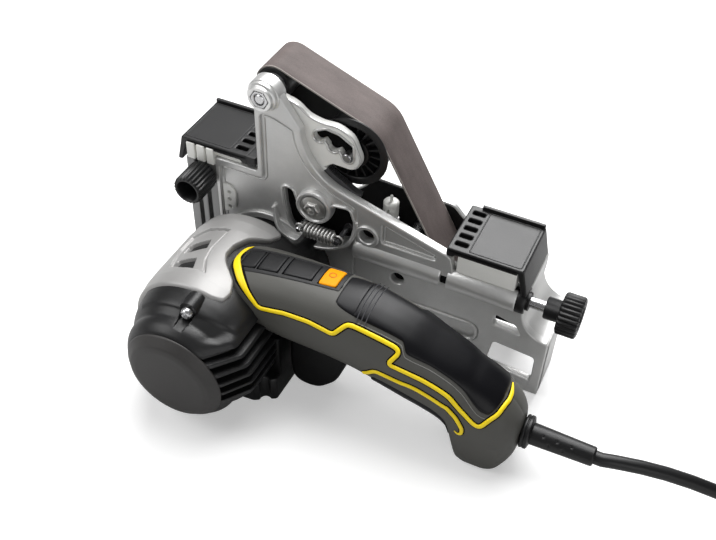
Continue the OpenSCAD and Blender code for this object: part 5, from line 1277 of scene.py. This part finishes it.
# The black liner stands for the guard's black inner face and also paints the deep shade behind the wheels.
shade_liner_line = guard_line.copy()
shade_liner_line[16:19] = (-71, 116), (-65, 131.5), (-42, 132)
SHADE_LINER = offset(trace(shade_liner_line, 3.0, 1.0), -0.9)
dress(plate("guard_shade_liner", [SHADE_LINER], 37.5, 38.1, 0.2, 0.05), black_plastic)
tooth = np.arange(10)
teeth = np.stack([-23 - 0.95 * tooth + (tooth % 2) * 1.1, 97.4 + 0.75 * tooth + (tooth % 2) * 1.1], 1)
index_knots = np.concatenate([[(-58, 92), (-24.5, 92), (-21.5, 96.5)], teeth, [(-32.2, 105.5), (-27, 109.2)],
                              arc(*HUB, 7.4, 262, 388, 14),
                              [(-16, 128.8), (-24.8, 133.0), (-32.6, 132.2), (-41, 134), (-46.5, 139),
                               (-58, 142)]])
knot = np.arange(len(index_knots))
soften = np.where(knot < 3, 1.0, np.where(knot < 15, 0.25, 3.6))[:, None]
INDEX = trace(index_knots, soften, 0.35)
SLOT = trace(np.concatenate([[(2.8, 0.6), (2.5, 7.2), (-5, 11.6), (-12, 12.6), (-18.0, 9.6)],
                             arc(-16, 7.2, 2.6, 165, 292, 8), [(-12.8, 6.6)], arc(-8, 3.6, 2.6, 175, 292, 8),
                             [(-4.6, 3.0)], arc(0, 0, 2.7, 175, 345, 10)]) + HUB,
             0.8, 0.4)
index_piece = plate("index_plate_face", [INDEX, SLOT], 5, 8.5, 0.35, 0.3)
dress(index_piece, index_aluminium, "index_plate")
# A near-black sheet behind the slot paints the shade inside it.
dress(plate("index_slot_shade_floor", [offset(SLOT, -1.2)], 8.4, 9.0, 0.1, 0.1), painted_shade_black, slot="black_plastic")
# This toothed strip in the dark arm metal paints the shade below the index plate's teeth, behind the frame's
# edge.
rack_a = np.linspace(227, 266, 157)
notch = 0.55 * np.abs((rack_a - 227) / 1.9 % 1 * 2 - 1) * (1 - smoothstep(250, 254, rack_a))
rack_r = (30.2 + 3.2 * smoothstep(244, 266, rack_a) + notch)[:, None]
rack_dir = np.stack([np.cos(np.radians(rack_a)), np.sin(np.radians(rack_a))], 1)
rack_loop = np.concatenate([rack_r * rack_dir, 36 * rack_dir[::-4]]) + SHOULDER
dress(plate("index_rack_shade", [rack_loop], 4.9, 8.8, 0.1, 0.1), arm_metal)
upper_edge = INDEX[(INDEX[:, 1] > 110.4) & (INDEX[:, 0] > -57)]
upper_edge = upper_edge[np.argsort(np.arctan2(upper_edge[:, 1] - 118, upper_edge[:, 0] + 30))]
rim_mid = np.array((-30.0, 119.0))
edge_in = rim_mid + (upper_edge - rim_mid) * 0.965
dress(bead_line("index_slot_rim", offset(SLOT, -0.75), 5.0, 0.75, 0.75), rim_bright, slot="index_aluminium")
dress(bead_line("index_edge_rim", edge_in, 5.0, 0.6, 0.6, closed=False), rim_bright, slot="index_aluminium")
tab_loop = trace([(-91, 57), (-84, 61), (-83.2, 72), (-86, 76), (-91, 77)], 1.4, 0.4)
dress(plate("scale_tab_face", [tab_loop] + [disc(-87.4, z, 1.15, 20) for z in (61.6, 66.6, 71.6)], 0.3, 1.5,
            0.25, 0.1), index_aluminium, "scale_tab")
print("index teeth", len(tooth))

# %% [markdown]
# ## Guides and carriages
# Each guide is a black moulded table on an alloy carriage: a top with five slots, a leaning end wall, and
# lips in front and behind. The left one is the mirror image of the right one, so both come from the same
# lines with another sign.

# %% Guides
def guide(tag, body, x0, y0, z0, sign):
    """A guide table from plates; sign -1 mirrors it. The words on the real one are left off."""
    at = lambda loop: np.asarray(loop, float) * (sign, 1) + (x0, z0)
    flat = lambda loop: np.asarray(loop, float) * (sign, 1) + (x0, y0)
    slots = [flat(box_loop(2.6, 4 + 6.45 * i, 9.1, 7.2 + 6.45 * i, 0.7, 0.5)) for i in range(5)]
    made_as = lambda part, *rest: plate(tag + "_guide_" + part, *rest)
    top = made_as("top", [flat(box_loop(0, 0, 40.2, 37, 1.2))] + slots, z0 - 2.4, z0, 0.3, 0.7, "xy")
    end = made_as("end", [at(trace([(39, -0.4), (40.3, -0.2), (44, -16), (41.2, -16), (37.2, -2.0)], 0.8,
                                   0.6))], y0, y0 + 37, 0.6, 0.6)
    back = made_as("back_lip", [at(box_loop(6, -1, 40, 2.2, 0.7, 0.6))], y0 + 35, y0 + 37, 0.5, 0.5)
    front = made_as("front_lip", [at(trace([(0.3, -0.8), (37.2, -0.8), (37.2, -3.9), (4.6, -3.9), (3.5, -5.4),
                                            (0.3, -5.4)], 0.7, 0.5))], y0, y0 + 2.2, 0.5, 0.3)
    frame_line = bead_line(tag + "_guide_border", flat(box_loop(11.2, 1.8, 38.4, 34.2, 1.0)), z0, 0.35, 0.3,
                           up=(0, 0, 1), points=7, foot=-0.2)
    dress(top, guide_plastic, tag + "_guide", body=body)
    inner = made_as("inner_lip", [at(box_loop(-4.6 if sign < 0 else 0, -5.4, 1.2, -0.2, 0.7, 0.5))], y0 + 0.1,
                    y0 + 9.4, 0.4, 0.4)
    # A near-black sheet under the five slots paints the shade inside them.
    floor = made_as("slot_shade_floor", [flat(box_loop(1.6, 2.6, 10.1, 34.6, 0.8))], z0 - 3.0, z0 - 2.3, 0.1, 0.1,
                    "xy")
    dress(floor, painted_shade_black, body=body, slot="guide_plastic")
    for piece in (end, back, front, frame_line, inner):
        dress(piece, guide_plastic, body=body)


guide("right", "right_slider", 39, 0, 84, 1)
guide("left", "left_slider", -73.9, -0.5, 101, -1)
LEFT_BLOCK = trace([(-111.2, 26), (-111.2, -1.2), (-106.2, -1.2), (-106.2, 1.8), (-105, 1.8), (-105, -1.2),
                    (-100.2, -1.2), (-100.2, 1.8), (-99, 1.8), (-99, -1.2), (-94.6, -1.2), (-94.6, 26)], 0.4,
                    0.35)
dress(plate("carriage_right", [box_loop(45.2, 69.2, 76.3, 81.5, 0.9)], 0.2, 36, 0.5, 0.5), carriage_alloy,
      "right_carriage", body="right_slider")
dress(plate("carriage_left", [LEFT_BLOCK], 88.3, 98.5, 0.4, 0.5, "xy"), carriage_alloy, "left_carriage",
      body="left_slider")
dress(plate("carriage_left_bar", [box_loop(-95.4, 93.3, -78.9, 98.5, 0.7)], 1.6, 20, 0.4, 0.4),
      carriage_alloy, body="left_slider")
print("guides and carriages made")

# %% [markdown]
# ## Bolts and screws
# Fasteners are turned parts. A row of the turned grid may be round or six-sided, which gives hexagon heads
# and sockets without any cutting.

# %% Bolts and screws
NUT = [(3.05, -1.9), (4.75, -1.9, 1), (4.9, -2.1, 1), (4.9, -4.0, 1), (4.55, -4.45, 0.6), (3.7, -4.5),
       (3.05, -4.2), (3.05, -1.9)]
dress(spun("head_nut", NUT, HEAD), bright_steel, "top_nut")
dress(spun("head_bolt", [(0.01, -4.4), (2.2, -4.4), (2.8, -3.9), (2.95, -3.4), (2.95, 37.4), (5.5, 37.4),
                         (5.5, 40.2), (0.01, 40.4)], HEAD), bright_steel, "top_bolt")
dress(spun("pivot_screw", [(0.01, -2.2), (1.9, -2.2, 1), (2.1, -2.4, 1), (2.1, -4.3, 1), (2.5, -4.6, 0.6),
                           (3.6, -4.6, 0.4), (4.5, -4.2, 1), (4.7, -3.8, 1), (4.7, -2.5, 1), (4.9, -2.3, 0.5),
                           (6.2, -2.2), (7.0, -1.8), (7.2, -1.2), (7.2, -0.6), (3, -0.5), (3, 9), (0.01, 9)],
                           PIVOT), spring_steel, "pivot_bolt", slot="bright_steel")
dress(spun("spring_pin_fixed", [(0.01, -8), (1.2, -7.9), (1.6, -7.4), (1.6, 5), (0.01, 5)], (-41, 0, 69),
           sides=24), bright_steel)
dress(spun("index_axle_end", [(0.01, 3.4), (2.0, 3.4), (2.4, 3.8), (2.4, 38), (0.01, 38)],
           (HUB[0], 0, HUB[1])), bearing_steel, "index_axle")
bar_a = np.radians(np.sort(np.concatenate([np.arange(0, 360, 6.0), 270 + np.array((-9.0, -8.2, 8.2, 9.0))])))
bar_z = np.array([71, 71.01, 74, 74.3, 76.9, 77.1, 80, 82.9, 83.1, 85.2, 85.7, 86, 86.01, 86.4, 89.6, 90])
bar_r = np.array([0.01, 1.4, 1.4, 4.1, 4.2, 4.2, 4.2, 4.2, 4.2, 4.2, 3.8, 3.2, 0.9, 0.7, 0.7, 0.01])
zz, aa = np.meshgrid(bar_z, bar_a, indexing="ij")
cut = (np.abs(np.degrees(aa) - 270) < 8.6) & (zz > 77) & (zz < 83)
rr = np.broadcast_to(bar_r[:, None], zz.shape) - 2.2 * cut
barrel = surface("tracking_barrel", np.stack([0.8 + rr * np.cos(aa), 18 + rr * np.sin(aa), zz], -1),
                 round_v=True, crease=30)
dress(barrel, carriage_alloy, "tracking_screw", body="tracking", slot="bright_steel")
print("barrel from z", bar_z[0], "to", bar_z[-1])

# %% [markdown]
# ## Pieces that keep their CAD form
# Bearings, axles, posts, small wheels, the arm and the feet could be made again, but their CAD form is right
# already. What a CAD solid lacks is the soft edge that catches the light, so each is copied, its flat
# triangles are joined, and a Bevel rounds its edges by a few tenths. The pieces inside the motor only get a
# finish.

# %% Softened CAD pieces
SOFT = {
    "root": [("guard_posts", 0.3, bright_steel), ("guard_screws", 0.2, bright_steel),
             ("rubber_feet", 0.4, grip_rubber), ("wheel_bearings", 0.15, bearing_steel),
             ("index_bearing", 0.15, bearing_steel), ("lower_axle", 0.2, bright_steel),
             ("screw_bush", 0.3, black_plastic), ("trigger_pin", 0.2, bright_steel)],
    "top": [("top_wheel", 0.4, black_plastic)],
    "lower": [("lower_wheel", 0.4, black_plastic)],
    "drive": [("drive_wheel", 0.4, black_plastic)],
    "arm": [("tension_arm", 0.4, arm_metal), ("roller_bearing", 0.15, bearing_steel)],
    "roller": [("tension_roller", 0.4, black_plastic)],
    "right_slider": [("screw_nut", 0.3, brass)],
    "screw": [("adjusting_screw", 0.15, bright_steel)],
    "clamp": [("clamp_stud", 0.2, bright_steel)],
}
for body, rows in SOFT.items():
    for node, width, finish in rows:
        dress(from_cad(node, width), finish, node, body=body)
INSIDE = {"stator": arm_metal, "armature": brass, "motor_shaft": bright_steel, "cooling_fan": black_plastic,
          "motor_bearings": bearing_steel, "brush_holders": brass}
for node, finish in INSIDE.items():
    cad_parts[node].data.materials.clear()
    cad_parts[node].data.materials.append(finish)
print("softened", sum(map(len, SOFT.values())), "inside", len(INSIDE))

# %% [markdown]
# ## Table and light
# The photograph is a high-key studio shot: a white sweep, large soft lights above and behind, a softer one
# from the left and a weak card from the right. The table is a plain diffuse white. Only for the camera it
# also glows, more with the distance, so it reaches white in the open and still keeps the soft shadow below
# the tool. For all other rays it is darker, because a bright table would light the undersides too much. The
# world is white for the camera alone.

# %% Table and lights
TABLE = np.linspace(-4000, 4000, 9)
table_grid = np.stack([*np.meshgrid(TABLE, TABLE, indexing="ij"), np.full((9, 9), -0.05)], -1)
table = surface("table", table_grid)
sweep_white = Finish("sweep_white")
seen = sweep_white.add("ShaderNodeLightPath", out="Is Camera Ray")
plain = sweep_white.add("ShaderNodeBsdfDiffuse", None, {"Color": (0.80, 0.80, 0.80, 1)})
dim = sweep_white.add("ShaderNodeBsdfDiffuse", None, {"Color": (0.55, 0.55, 0.55, 1)})
away = sweep_white.add("ShaderNodeVectorMath", {"operation": "LENGTH"}, {0: sweep_white.place()}, out="Value")
rising = sweep_white.ramp(away * 0.5, [(0.25, 0.38), (0.8, 1.0)])
glow = sweep_white.add("ShaderNodeEmission", None, {"Color": rising, "Strength": 1.0})
lit = sweep_white.add("ShaderNodeAddShader", None, {0: plain, 1: glow})
both = sweep_white.add("ShaderNodeMixShader", None, {0: seen, 1: dim, 2: lit})
sweep_white.add("ShaderNodeOutputMaterial", None, {"Surface": both})
table.data.materials.append(sweep_white.material)


def soft_light(name, at, aim, size, energy):
    """A square area lamp at a place in metres, turned towards a point."""
    lamp = bpy.data.lights.new(name, "AREA")
    lamp.size, lamp.energy = size, energy
    holder = bpy.data.objects.new(name, lamp)
    bpy.context.scene.collection.objects.link(holder)
    holder.location = at
    holder.rotation_euler = (Vector(aim) - Vector(at)).to_track_quat("-Z", "Y").to_euler()
    return holder


soft_light("overhead", (-0.1, 0.30, 1.05), (0, 0, 0.05), 0.85, 13)
soft_light("behind", (0.0, 0.85, 0.85), (0, 0, 0.06), 0.65, 10)
soft_light("left_soft", (-0.85, -0.5, 0.9), (-0.03, 0, 0.06), 0.7, 6.0)
soft_light("right_card", (0.75, -0.95, 0.45), (0.03, 0, 0.05), 0.7, 2.5)
studio = Finish("studio", bpy.data.worlds.new("studio"))
bpy.context.scene.world = studio.material
fill, white = (studio.add("ShaderNodeBackground", None, {"Color": (1, 1, 1, 1), "Strength": level})
               for level in (0.14, 1.0))
seen = studio.add("ShaderNodeLightPath", out="Is Camera Ray")
sky = studio.add("ShaderNodeMixShader", None, {0: seen, 1: fill, 2: white})
studio.add("ShaderNodeOutputWorld", None, {"Surface": sky})
print("lights ready")

# %% Count the pieces
print("pieces", len(made))
